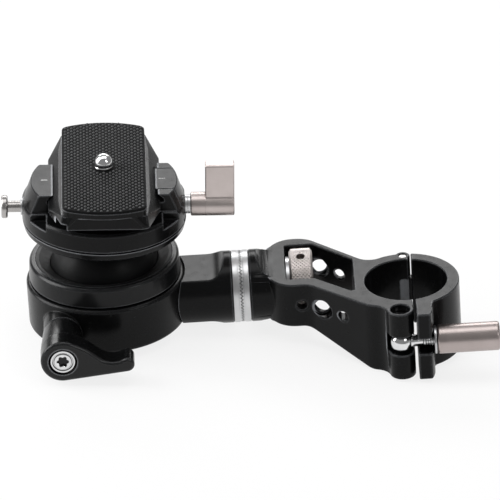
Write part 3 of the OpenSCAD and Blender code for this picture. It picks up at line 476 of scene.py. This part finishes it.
def cut(obj, cutter):
    """Subtracts a helper object for good, then removes it."""
    mod = obj.modifiers.new("cut", "BOOLEAN")
    mod.operation = "DIFFERENCE"
    mod.solver = "EXACT"
    mod.object = cutter
    graph = bpy.context.evaluated_depsgraph_get()
    mesh = bpy.data.meshes.new_from_object(obj.evaluated_get(graph))
    obj.modifiers.remove(mod)
    obj.data = mesh
    bpy.data.objects.remove(cutter)


def helper(bm):
    """A scratch object for a boolean cut."""
    bmesh.ops.recalc_face_normals(bm, faces=bm.faces)
    mesh = bpy.data.meshes.new("helper")
    bm.to_mesh(mesh)
    bm.free()
    obj = bpy.data.objects.new("helper", mesh)
    bpy.context.scene.collection.objects.link(obj)
    bpy.context.view_layer.update()
    return obj


def rod_cutter(r, z0, z1, place):
    bm = bmesh.new()
    lathe(bm, [(0, z0), (r, z0), (r, z1), (0, z1)], place, CUTTER_STEPS, False)
    return helper(bm)


# Cross holes of the arm: chamfered mouths, and a thread in the middle one

MOUTH, MOUTH_OVER, MOUTH_CLEAR = 0.5, 0.7, 1.1
WALL_FACES, RAY_START, RAY_STEP, WALL_BESIDE = 4, -60.0, 0.05, 1.0
HOLE_THREAD_Z, HOLE_CREST, HOLE_ROOT, HOLE_SLEEVE, HOLE_STEPS = -1.0, 0.5, 0.03, 0.2, 56


def wall_faces(surface, x, z):
    """The arm's wall faces beside a cross hole, as (y, outward normal), from the front to the back."""
    found = []
    y = RAY_START
    for _ in range(WALL_FACES):
        hit, normal, _, _ = surface.ray_cast(Vector((x, y, z)) * MM, Vector((0, 1, 0)))
        found.append((hit.y / MM, normal.copy()))
        y = hit.y / MM + RAY_STEP
    return found


def arm_holes():
    """Threads the largest cross hole, and returns the cutter of all the chamfered mouths."""
    bracket = bmesh.new()
    bracket.from_mesh(NODES["bracket"].data)
    walls = BVHTree.FromBMesh(bracket)
    bracket.free()
    mouths = bmesh.new()
    threads = bmesh.new()
    largest = max(r for _, r in ARM_HOLES)
    for x, r in ARM_HOLES:
        faces = wall_faces(walls, x, ARM_Z + r + WALL_BESIDE)
        cone = [(0, -MOUTH), (r, -MOUTH), (r + MOUTH + MOUTH_OVER, MOUTH_OVER), (0, MOUTH_OVER)]
        for y, normal in faces:
            spot = Matrix.Translation((x, y, ARM_Z)) @ normal.to_track_quat("Z", "Y").to_matrix().to_4x4()
            lathe(mouths, cone, spot, CUTTER_STEPS, False)
        if r < largest:
            continue
        sleeve, root, crest = r + HOLE_SLEEVE, r - HOLE_ROOT, r - HOLE_CREST
        end = HOLE_THREAD_Z + 1.5 * QUARTER_PITCH
        turns = [
            (sleeve, HOLE_THREAD_Z), (root, HOLE_THREAD_Z), (crest, HOLE_THREAD_Z + QUARTER_PITCH / 2),
            (root, HOLE_THREAD_Z + QUARTER_PITCH), (crest, end), (sleeve, end),
        ]
        for (near, _), (far, _) in (faces[:2], faces[2:]):
            middle = Matrix.Translation((x, (near + far) / 2, ARM_Z)) @ ALONG_Y
            lathe(threads, turns, middle, HOLE_STEPS)
    cutter = helper(mouths)
    finish_mesh("arm_hole_threads", threads, BLACK, BODY["bracket"])
    return cutter


# CAD nodes with rounded edges

EDGE_WIDTHS = {
    "bracket": 0.45, "clamp_cap": 0.45, "neck": 0.35, "housing": 0.4, "platform": 0.12, "clamp_body": 0.25,
    "moving_jaw": 0.3, "qr_plate": 0.3, "collar": 0.3, "clamp_nut": 0.35, "pull_head": 0.25,
}
# Edges sharper than this are rounded. The bracket's shallow creases stay as they are
EDGE_ANGLE, BRACKET_EDGE_ANGLE = 28.0, 42.0
EDGE_SEGMENTS, SOFTEN_TRIES, WELD, FLAT_ANGLE, FINISHED_SMOOTH = 3, 8, 2e-6, 1.0, 34.0
# Shares of the edge width: how far a point may stray, and how much is left sharp round one that does
STRAY, STRAY_REACH = 0.8, 2.5
SEAM_R, SEAM_H, SEAM_OUT, SEAM_UP, SEAM_STEPS = 26.6, 0.45, 4.0, 1.0, 96


def bevelled(source, edges, width):
    """A copy of a mesh with the edges at these indices rounded."""
    bm = source.copy()
    bm.edges.ensure_lookup_table()
    bmesh.ops.bevel(
        bm, geom=[bm.edges[i] for i in edges], offset=width, offset_type="OFFSET", segments=EDGE_SEGMENTS,
        profile=0.5, affect="EDGES", clamp_overlap=False,
    )
    return bm


def stray_points(bm, surface, limit):
    """Where a bevel has run out of its surface: the sound points beside each stray one."""
    stray = {v.index for v in bm.verts if surface.find_nearest(v.co)[3] > limit}
    beside = []
    for v in bm.verts:
        if v.index in stray:
            sound = [w for e in v.link_edges for w in e.verts if w.index not in stray]
            beside.extend(w.co.copy() for w in sound)
    return len(stray), beside


def on_arm_hole(edge):
    """Whether an edge lies on the wall or the mouth of a cross hole in the arm."""
    for x, r in ARM_HOLES:
        limit = r + MOUTH + MOUTH_CLEAR
        if all(math.hypot(v.co.x / MM - x, v.co.z / MM - ARM_Z) < limit for v in edge.verts):
            return True
    return False


def soften(name, width, angle, cutter=None):
    """A copy of a CAD node with its sharp edges rounded, standing for that node."""
    source = bmesh.new()
    source.from_mesh(NODES[name].data)
    bmesh.ops.remove_doubles(source, verts=source.verts, dist=WELD)
    if cutter:
        block = helper(source)
        cut(block, cutter)
        source = bmesh.new()
        source.from_mesh(block.data)
        bpy.data.objects.remove(block)
    bmesh.ops.dissolve_limit(
        source, angle_limit=math.radians(FLAT_ANGLE), verts=source.verts, edges=source.edges)
    surface = BVHTree.FromBMesh(source)
    source.edges.ensure_lookup_table()
    edges = [
        e.index for e in source.edges
        if len(e.link_faces) == 2 and e.calc_face_angle(0.0) > math.radians(angle) and not on_arm_hole(e)
    ]
    # Edges whose bevel would run astray stay sharp
    for _ in range(SOFTEN_TRIES):
        bm = bevelled(source, edges, width * MM)
        bm.verts.index_update()
        count, beside = stray_points(bm, surface, STRAY * width * MM)
        if not count:
            break
        bm.free()
        tree = KDTree(max(1, len(beside)))
        for i, co in enumerate(beside):
            tree.insert(co, i)
        tree.balance()
        reach = STRAY_REACH * width * MM
        edges = [
            i for i in edges
            if min(tree.find(v.co)[2] or 0.0 for v in source.edges[i].verts) > reach
        ]
    else:
        bm = source.copy()
    source.free()
    finish_mesh(name + "_finished", bm, LOOK[name], BODY[name], [name], FINISHED_SMOOTH, True)


def seam_cutter():
    """The cutter of a narrow rebate in the platform's rim, which is the dark seam under the clamp body."""
    bm = bmesh.new()
    out = SEAM_R + SEAM_OUT
    lathe(bm, [(SEAM_R, -SEAM_H), (out, -SEAM_H), (out, SEAM_UP), (SEAM_R, SEAM_UP)], HEAD, SEAM_STEPS)
    return helper(bm)


def soften_nodes():
    cutters = {"bracket": arm_holes(), "platform": seam_cutter()}
    for name, width in EDGE_WIDTHS.items():
        soften(name, width, BRACKET_EDGE_ANGLE if name == "bracket" else EDGE_ANGLE, cutters.get(name))


# Rubber pad: a sheet with staggered studs

PAD_SMOOTH = 50.0
SHEET_INSET, SHEET_DROP, SHEET_ROUND, SHEET_STEPS = 0.05, 0.4, 0.15, 2
STUD_X, STUD_Y, STUD_R, STUD_SIDES, STUD_COLUMNS, STUD_CLEAR = 2.16, 1.08, 0.45, 8, 8, 0.9
# A stud's rings, as (share of its radius, depth below the pad's top)
STUD = ((1.0, 0.42), (0.8, 0.2), (0.5, 0.07), (0.2, 0.02))
CORNER_STEPS, END_STEPS = 8, 12


def pad_outline(inset):
    """The pad's plan: straight sides, round ends and rounded corners."""
    half, end, corner = PAD_W - inset, PAD_END - inset, PAD_CORNER - inset
    # A corner circle that touches the side and the end's circle from inside
    cx = half - corner
    cy = math.sqrt((end - corner) ** 2 - cx ** 2)
    join = math.degrees(math.atan2(cy, cx))
    quarter = arc(cx, cy, corner, 0, join, CORNER_STEPS) + arc(0, 0, end, join, 90, END_STEPS)[1:-1]
    quarter.append((0.0, end))
    right = quarter + [(-x, y) for x, y in reversed(quarter[:-1])]
    return right + [(-x, -y) for x, y in right]


def pad():
    sheet = bmesh.new()
    layers = round_layers(PAD_Z, PAD_Z + PAD_T - SHEET_DROP, SHEET_ROUND, SHEET_STEPS)
    slab(sheet, pad_outline(SHEET_INSET), layers, HEAD)
    finish_mesh("pad_sheet", sheet, SHADED_PAD_RUBBER, "plate", ["plate_pad"], PAD_SMOOTH)
    studs = bmesh.new()
    rows = int(PAD_END / STUD_Y)
    for row in range(-rows, rows + 1):
        y = row * STUD_Y
        shift = STUD_X / 2 if row % 2 else 0.0
        for column in range(-STUD_COLUMNS, STUD_COLUMNS + 1):
            x = column * STUD_X + shift
            out = math.hypot(x, y)
            inside = abs(x) < PAD_W - STUD_R and out < PAD_END - STUD_R
            if not inside or out < CAMERA_R + STUD_CLEAR:
                continue
            rings = []
            for share, depth in STUD:
                plan = arc(x, y, STUD_R * share, 0, 360, STUD_SIDES)[:-1]
                rings.append(ring(studs, HEAD, [(*p, PAD_Z + PAD_T - depth) for p in plan]))
            bridge(studs, rings)
            studs.faces.new(rings[-1])
    finish_mesh("pad_studs", studs, LIT_STUD_RUBBER, "plate", (), PAD_SMOOTH)


# Camera screw: head, neck, thread and polished dome

CAMERA_SMOOTH, CAMERA_HEAD_STEPS, CAMERA_STEPS = 60.0, 64, 48
CAMERA_NECK_R, CAMERA_NECK_TOP = 2.77, 18.9
CAMERA_THREAD_Z, CAMERA_THREAD_DEEP, DOME_Z = 18.85, 0.55, 19.6
DOME_ANGLES = range(6, 90, 7)


def camera_screw():
    bm = bmesh.new()
    z0, z1, neck_top = CAMERA_HEAD_Z0, CAMERA_HEAD_Z1, CAMERA_NECK_TOP
    inner = CAMERA_HEAD_R - CAMERA_CHAMFER
    profile = [
        (0, z0), (inner, z0), (CAMERA_HEAD_R, z0 + CAMERA_CHAMFER), (CAMERA_HEAD_R, z1 - CAMERA_CHAMFER),
        (inner, z1), (CAMERA_NECK_R, z1), (CAMERA_NECK_R, neck_top), (0, neck_top),
    ]
    lathe(bm, profile, HEAD, CAMERA_HEAD_STEPS, False)
    dome = [
        (CAMERA_R * math.cos(a), DOME_Z + (CAMERA_TOP - DOME_Z) * math.sin(a))
        for a in map(math.radians, DOME_ANGLES)
    ]
    thread(bm, CAMERA_R, CAMERA_THREAD_DEEP, QUARTER_PITCH, CAMERA_THREAD_Z, DOME_Z, HEAD, CAMERA_STEPS, dome)
    finish_mesh("threaded_camera_screw", bm, CHROME, "screw", ["camera_screw"], CAMERA_SMOOTH)


# Rosettes: chamfered rings with radial teeth that mesh across a narrow dark gap

ROSETTE_GAP, ROSETTE_CHAMFER, ROSETTE_SMOOTH = 0.46, 0.3, 30.0
RIM_DROP, ROOT_DROP, BORE_STEP = 0.35, 0.2, 0.1


def rosette(name, place, phase):
    """A toothed ring from its back face up along the local Z axis."""
    bm = bmesh.new()
    count = 2 * TEETH
    mean = ROSETTE_T - ROSETTE_GAP / 2
    root = mean - TOOTH_H / 2
    floor = root - ROOT_DROP
    rows = [[point] * count for point in (
        (ROSETTE_BORE, 0.0), (COLLAR_R - ROSETTE_CHAMFER, 0.0), (COLLAR_R, ROSETTE_CHAMFER),
        (COLLAR_R, root - RIM_DROP), (TOOTH_RO, floor),
    )]
    for r in (TOOTH_RO, TOOTH_RI):
        half = TOOTH_H / 2 * r / COLLAR_R
        rows.append([(r, mean + (half if (i + phase) % 2 == 0 else -half)) for i in range(count)])
    rows.append([(TOOTH_RI - BORE_STEP, floor)] * count)
    rows.append([(ROSETTE_BORE, floor)] * count)
    bridge(bm, [around(bm, place, row) for row in rows], loop=True)
    finish_mesh(name + "_toothed", bm, SILVER, BODY[name], [name], ROSETTE_SMOOTH)


def rosettes():
    rosette("neck_rosette", ARM @ Matrix.Translation((0, 0, MESH_X - ROSETTE_T)), 0)
    turned_back = Matrix.Rotation(math.pi, 4, "X")
    rosette("bracket_rosette", ARM @ Matrix.Translation((0, 0, MESH_X + ROSETTE_T)) @ turned_back, 1)


# Thumbwheel: diamond knurl between two chamfers, with a cross hole

KNURL_AROUND, KNURL_ALONG, KNURL_DEEP, KNURL_SMOOTH = 108, 10, 0.3, 8.0
WHEEL_CHAMFER, WHEEL_SLOPE, WHEEL_STEP = 0.75, 0.25, 0.1
WHEEL_HOLE_Z = (5.0, 14.0)


def thumbwheel():
    bm = bmesh.new()
    place = ARM @ Matrix.Translation((0, 0, KNOB_X))
    face_r = KNOB_R - WHEEL_CHAMFER - WHEEL_SLOPE
    low_r = KNOB_R - KNURL_DEEP
    near = [(KNOB_BORE, 0.0), (face_r, 0.0), (low_r, WHEEL_CHAMFER - WHEEL_STEP)]
    far = [(low_r, KNOB_L - WHEEL_CHAMFER + WHEEL_STEP), (face_r, KNOB_L), (KNOB_BORE, KNOB_L)]
    rows = [[point] * KNURL_AROUND for point in near]
    for k in range(KNURL_ALONG + 1):
        z = WHEEL_CHAMFER + (KNOB_L - 2 * WHEEL_CHAMFER) * k / KNURL_ALONG
        rows.append([(low_r if (i + k) % 2 else KNOB_R, z) for i in range(KNURL_AROUND)])
    rows += [[point] * KNURL_AROUND for point in far]
    rings = [around(bm, place, row) for row in rows]
    # Each quad is split between its two low points, so that every crest is a pyramid
    for k, (a, b) in enumerate(zip(rings, rings[1:] + rings[:1])):
        for i in range(KNURL_AROUND):
            j = (i + 1) % KNURL_AROUND
            if (i + k - len(near)) % 2:
                bm.faces.new((a[i], a[j], b[j]))
                bm.faces.new((a[i], b[j], b[i]))
            else:
                bm.faces.new((a[i], a[j], b[i]))
                bm.faces.new((a[j], b[j], b[i]))
    knob = finish_mesh("knurled_thumbwheel", bm, KNURLED, "tie", ["tie_knob"], KNURL_SMOOTH)
    hole = (
        Matrix.Translation((KNOB_X + KNOB_L / 2, ARM_Y, ARM_Z))
        @ Matrix.Rotation(math.radians(KNOB_HOLE_TURN), 4, "X")
    )
    cut(knob, rod_cutter(KNOB_HOLE_R, *WHEEL_HOLE_Z, hole))


# Eye bolt: polished ball, shank and thread

EYE_SMOOTH, EYE_STEPS, EYE_ARC_STEPS, SHANK_STEPS, BOLT_STEPS = 50.0, 72, 24, 48, 32
BOLT_THREAD_DEEP = 0.42
# The shank from the eye to the thread, as (radius beyond the plain shank, distance)
SHANK = ((0.35, 2.4), (0.2, 4.2), (0.0, 4.7), (0.0, 7.0), (-0.3, 7.3), (-0.3, THREAD_X + 0.1))


def eye_bolt():
    bm = bmesh.new()
    edge = math.degrees(math.asin(EYE_H / EYE_R))
    ball = arc(0, 0, EYE_R, -edge, edge, EYE_ARC_STEPS)
    lathe(bm, [(EYE_BORE, -EYE_H), *ball, (EYE_BORE, EYE_H)], SWING, EYE_STEPS)
    rod = SWING @ ALONG_X
    shank = [(SHANK_R + more, z) for more, z in SHANK]
    lathe(bm, [(0, SHANK[0][1]), *shank, (0, SHANK[-1][1])], rod, SHANK_STEPS, False)
    thread(bm, BOLT_R, BOLT_THREAD_DEEP, BOLT_PITCH, THREAD_X, BOLT_END, rod, BOLT_STEPS)
    finish_mesh("threaded_eye_bolt", bm, CHROME, "swing", ["swing_bolt"], EYE_SMOOTH)


# Lock lever: hub and handle, with a recess for its screw

LEVER_SMOOTH, LEVER_ROUND, LEVER_STEPS = 40.0, 1.1, 6
RECESS_R, RECESS_DEEP, RECESS_OVER = 4.9, 1.6, 2.0
# Start and end of the hub's and the tip's arcs, in degrees
HUB_ARC, TIP_ARC, HUB_ARC_STEPS, TIP_ARC_STEPS, HOLLOW_STEPS = (-88, -298), (95, -86), 44, 16, 6
# Points of the handle's upper edge, from the hub to the tip. The last one only steers the curve
LEVER_HOLLOW = ((8.4, 3.9), (14.2, -0.7), (18.6, -1.25), (21.3, -0.2), (22.5, -0.4))
HUB_END, HUB_BORE, HUB_STEPS = HUB_L - HANDLE_W + 1.2, 3.1, 96
HUB_PROFILE = ((HUB_BORE, 0.0), (6.2, 0.0), (6.7, 0.5), (7.35, 9.0), (7.4, HUB_END), (HUB_BORE, HUB_END))


def lever_outline():
    """Front view of the lever: hub, hollow upper edge, raised round tip, straight lower edge."""
    hub = arc(0, 0, HUB_R, *HUB_ARC, HUB_ARC_STEPS)
    hollow = spline([hub[-3], hub[-1], *LEVER_HOLLOW], HOLLOW_STEPS)
    tip = arc(TIP_X, TIP_Y, TIP_R, *TIP_ARC, TIP_ARC_STEPS)
    points = hub + hollow[1:] + tip
    points.reverse()
    return points


def lock_lever():
    bm = bmesh.new()
    slab(bm, lever_outline(), round_layers(HUB_L - HANDLE_W, HUB_L, LEVER_ROUND, LEVER_STEPS), LEVER)
    lever = finish_mesh(
        "moulded_lever", bm, LEVER_BLACK, "lock", ["lock_lever"], LEVER_SMOOTH, True)
    cut(lever, rod_cutter(RECESS_R, HUB_L - RECESS_DEEP, HUB_L + RECESS_OVER, LEVER))
    lever.data.set_sharp_from_angle(angle=math.radians(LEVER_SMOOTH))
    bm = bmesh.new()
    lathe(bm, HUB_PROFILE, LEVER, HUB_STEPS)
    finish_mesh("lever_hub", bm, LEVER_BLACK, "lock", (), LEVER_SMOOTH)


# Clamp lever: turned body and paddle, blended where they meet

PADDLE_FILLET, PADDLE_CORNER, PADDLE_ROUND, CLAMP_SMOOTH, CLAMP_STEPS = 1.2, 0.6, 0.45, 34.0, 72
FILLET_STEPS, PADDLE_STEPS, ROUND_STEPS, CLAMP_ARC_STEPS = 8, 6, 4, 56
# The turned body stays a hair under the paddle's round part and runs a little way into it
CLAMP_UNDER, CLAMP_OVERLAP = 0.02, 0.3
# The body's outer edge, as (radius taken off, distance)
CLAMP_EDGE = ((0.5, 0.0), (0.15, 0.15), (CLAMP_UNDER, 0.5))


def paddle_outline():
    """End view of the lever, with each point's share of the edge rounding on the paddle's near side."""
    half, fillet, corner = PADDLE_T / 2, PADDLE_FILLET, PADDLE_CORNER
    up = math.sqrt((CLAMP_R + fillet) ** 2 - (half + fillet) ** 2)
    meet = math.degrees(math.atan2(up, half + fillet))
    body = arc(0, 0, CLAMP_R, 180 - meet, 360 + meet, CLAMP_ARC_STEPS)[1:-1]
    rise = arc(half + fillet, up, fillet, 180 + meet, 180, FILLET_STEPS)
    crown = arc(half - corner, PADDLE_H - corner, corner, 0, 90, PADDLE_STEPS)
    crown += arc(corner - half, PADDLE_H - corner, corner, 90, 180, PADDLE_STEPS)
    fall = arc(-half - fillet, up, fillet, 0, -meet, FILLET_STEPS)
    growth = [k / FILLET_STEPS for k in range(FILLET_STEPS + 1)]
    share = [0.0] * len(body) + growth + [1.0] * len(crown) + [1 - k for k in growth]
    return body + rise + crown + fall, share


def clamp_lever():
    bm = bmesh.new()
    near, far = CLAMP_X + CLAMP_L - PADDLE_W, CLAMP_X + CLAMP_L
    outline, share = paddle_outline()
    count = len(outline)
    normals = []
    for i in range(count):
        t = Vector(outline[(i + 1) % count]) - Vector(outline[i - 1])
        normals.append(Vector((t.y, -t.x)).normalized())
    rings = []
    for inset, x in round_layers(near, far, PADDLE_ROUND, ROUND_STEPS):
        points = []
        for p, n, k in zip(outline, normals, share):
            q = Vector(p) - n * inset * (k if x < (near + far) / 2 else 1.0)
            points.append((q.x, q.y, x))
        rings.append(ring(bm, CROSS, points))
    capped(bm, rings)
    end = near + CLAMP_OVERLAP
    body = [(CLAMP_R - less, CLAMP_X + x) for less, x in CLAMP_EDGE]
    lathe(bm, [(0, CLAMP_X), *body, (CLAMP_R - CLAMP_UNDER, end), (0, end)], CROSS, CLAMP_STEPS, False)
    finish_mesh("turned_clamp_lever", bm, CHAMPAGNE, BODY["qr_lever"], ["qr_lever"], CLAMP_SMOOTH)


# Pin spring: a coil of wire

COIL_TURNS, COIL_STEPS, WIRE_SIDES, COIL_SMOOTH = 4, 24, 10, 60.0


def pull_spring():
    bm = bmesh.new()
    rings = []
    steps = COIL_TURNS * COIL_STEPS
    for k in range(steps + 1):
        a = 2 * math.pi * k / COIL_STEPS
        z = COIL_X0 + WIRE_R + (COIL_X1 - COIL_X0 - 2 * WIRE_R) * k / steps
        wire = arc(COIL_R, z, WIRE_R, 0, 360, WIRE_SIDES)[:-1]
        rings.append(ring(bm, CROSS, [(r * math.cos(a), r * math.sin(a), along) for r, along in wire]))
    capped(bm, rings)
    spring = finish_mesh(
        "coiled_pull_spring", bm, STEEL, "head", ["pull_spring"], COIL_SMOOTH)
    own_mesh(spring)


# Lever screw: bright rim, groove and lobed socket

SCREW_R, SCREW_SUNK, SCREW_STEPS, SCREW_SMOOTH = 4.3, 0.35, 96, 40.0
# Rings as (share of the screw's radius, height above its face)
SCREW_FACE = (
    (1.0, -2.4), (1.0, -0.25), (0.95, 0.0), (0.84, 0.0), (0.79, -0.5), (0.7, -0.5), (0.66, -0.1), (0.6, 0.0))
SOCKET_WALL, SOCKET_FLOOR = ((0.46, 0.0), (0.43, -0.1), (0.42, -1.9)), (0.1, -2.1)
LOBES, LOBE_SHARE = 6, 0.06


def lever_screw():
    bm = bmesh.new()
    z = HUB_L - SCREW_SUNK
    rows = [[(SCREW_R * share, z + h)] * SCREW_STEPS for share, h in SCREW_FACE]
    waves = [LOBE_SHARE * math.cos(LOBES * 2 * math.pi * i / SCREW_STEPS) for i in range(SCREW_STEPS)]
    for share, h in SOCKET_WALL:
        rows.append([(SCREW_R * (share + wave), z + h) for wave in waves])
    rows.append([(SCREW_R * SOCKET_FLOOR[0], z + SOCKET_FLOOR[1])] * SCREW_STEPS)
    capped(bm, [around(bm, LEVER, row) for row in rows])
    finish_mesh("lobed_lever_screw", bm, SOCKET, "lock", ["lever_screw"], SCREW_SMOOTH)


# White index ticks on the jaws

TICK_HALF, TICK_SUNK, TICK_PROUD = 0.16, 0.1, 0.02
TICK_FIXED, TICK_MOVING = (-21.4, -19.2), (18.6, 20.8)


def tick(name, x0, x1, body, slot):
    bm = bmesh.new()
    outline = [(x0, -TICK_HALF), (x1, -TICK_HALF), (x1, TICK_HALF), (x0, TICK_HALF)]
    slab(bm, outline, [(0.0, JAW_TOP - TICK_SUNK), (0.0, JAW_TOP + TICK_PROUD)], HEAD)
    finish_mesh(name, bm, TICK, body)


soften_nodes()
pad()
camera_screw()
rosettes()
thumbwheel()
eye_bolt()
lock_lever()
clamp_lever()
pull_spring()
lever_screw()
tick("index_tick_fixed", *TICK_FIXED, "head", "clamp_body")
tick("index_tick_moving", *TICK_MOVING, "jaw", "moving_jaw")


# Camera, at the photo's angle. From here on, lengths are in metres

VIEW_UP, VIEW_ROLL, VIEW_WIDTH, VIEW_FAR, VIEW_END = 29.0, 3.5, 0.171, 2.2, 20.0
SENSOR = 36.0
TARGET = Vector((-0.05225, 0.0169, 0.01825))


def aim_camera():
    up = math.radians(VIEW_UP)
    roll = math.radians(VIEW_ROLL)
    ahead = Vector((0, math.cos(up), -math.sin(up)))
    level, upright = Vector((1, 0, 0)), Vector((0, math.sin(up), math.cos(up)))
    side = math.cos(roll) * level - math.sin(roll) * upright
    top = math.sin(roll) * level + math.cos(roll) * upright
    camera = bpy.data.cameras.new("camera")
    camera.sensor_width = SENSOR
    camera.lens = SENSOR * VIEW_FAR / VIEW_WIDTH
    camera.clip_end = VIEW_END
    eye = bpy.data.objects.new("camera", camera)
    axes = Matrix((
        (side.x, top.x, -ahead.x, 0), (side.y, top.y, -ahead.y, 0),
        (side.z, top.z, -ahead.z, 0), (0, 0, 0, 1)))
    eye.matrix_world = Matrix.Translation(TARGET - ahead * VIEW_FAR) @ axes
    bpy.context.scene.collection.objects.link(eye)
    bpy.context.scene.camera = eye


# Stage. The part lies on its base and the clamp's foot, so the floor slopes a little in the part's frame

FLOOR_X, FLOOR_Z, FLOOR_SLOPE, FLOOR_REACH = -0.1285, -0.00385, 0.0762, 3.0
FLOOR_LOW, FLOOR_HIGH, FLOOR_ROUGH = (0.88, 0.88, 0.88), (0.9, 0.9, 0.9), 0.9
# How much of the floor seen directly, or in metal and glass, is plain white; the rest keeps the shadow
GLOW_SHARE = 0.82


def floor_material():
    n = Nodes("floor")
    n.bsdf.inputs["Roughness"].default_value = FLOOR_ROUGH
    n.link(n.ramp(n.noise(FLOOR_SCALE), FLOOR_LOW, FLOOR_HIGH), "Color", n.bsdf, "Base Color")
    glow = n.add("ShaderNodeEmission")
    glow.inputs["Strength"].default_value = 1.0
    ray = n.add("ShaderNodeLightPath")
    seen = n.add("ShaderNodeMath", operation="MAXIMUM")
    n.link(ray, "Is Camera Ray", seen, 0)
    n.link(ray, "Is Glossy Ray", seen, 1)
    seen_through = n.add("ShaderNodeMath", operation="MAXIMUM")
    n.link(seen, "Value", seen_through, 0)
    n.link(ray, "Is Transmission Ray", seen_through, 1)
    share = n.add("ShaderNodeMath", operation="MULTIPLY")
    share.inputs[1].default_value = GLOW_SHARE
    n.link(seen_through, "Value", share, 0)
    mix = n.add("ShaderNodeMixShader")
    n.link(share, "Value", mix, "Fac")
    n.link(n.bsdf, "BSDF", mix, 1)
    n.link(glow, "Emission", mix, 2)
    n.link(mix, "Shader", n.out, "Surface")
    return n.mat


def lay_floor():
    bm = bmesh.new()
    for x, y in ((-1, -1), (1, -1), (1, 1), (-1, 1)):
        x *= FLOOR_REACH
        bm.verts.new((x, y * FLOOR_REACH, FLOOR_Z - (x - FLOOR_X) * FLOOR_SLOPE))
    bm.faces.new(bm.verts)
    mesh = bpy.data.meshes.new("floor")
    bm.to_mesh(mesh)
    bm.free()
    mesh.materials.append(floor_material())
    floor = bpy.data.objects.new("floor", mesh)
    bpy.context.scene.collection.objects.link(floor)


# Light

WORLD_STRENGTH = 0.25


def light_world():
    world = bpy.data.worlds.new("studio")
    bpy.context.scene.world = world
    world.use_nodes = True
    tree = world.node_tree
    tree.nodes.clear()
    out = tree.nodes.new("ShaderNodeOutputWorld")
    sky = tree.nodes.new("ShaderNodeBackground")
    sky.inputs["Color"].default_value = (1, 1, 1, 1)
    sky.inputs["Strength"].default_value = WORLD_STRENGTH
    tree.links.new(sky.outputs["Background"], out.inputs["Surface"])


def softbox(name, where, size, power):
    """A rectangular lamp that faces the part."""
    lamp = bpy.data.lights.new(name, "AREA")
    lamp.shape = "RECTANGLE"
    lamp.size, lamp.size_y = size
    lamp.energy = power
    obj = bpy.data.objects.new(name, lamp)
    obj.location = where
    obj.rotation_euler = (TARGET - Vector(where)).to_track_quat("-Z", "Y").to_euler()
    bpy.context.scene.collection.objects.link(obj)


aim_camera()
lay_floor()
light_world()
softbox("top_back", (-0.05, 0.75, 0.45), (1.1, 0.3), 4.2)
softbox("overhead", (-0.05, 0.0, 0.75), (0.9, 0.4), 2.4)
softbox("left_side", (-0.75, 0.1, 0.4), (0.45, 0.6), 6.0)
softbox("right_front", (0.55, -0.6, 0.6), (0.3, 0.4), 1.4)

bpy.context.scene.view_settings.view_transform = "Standard"
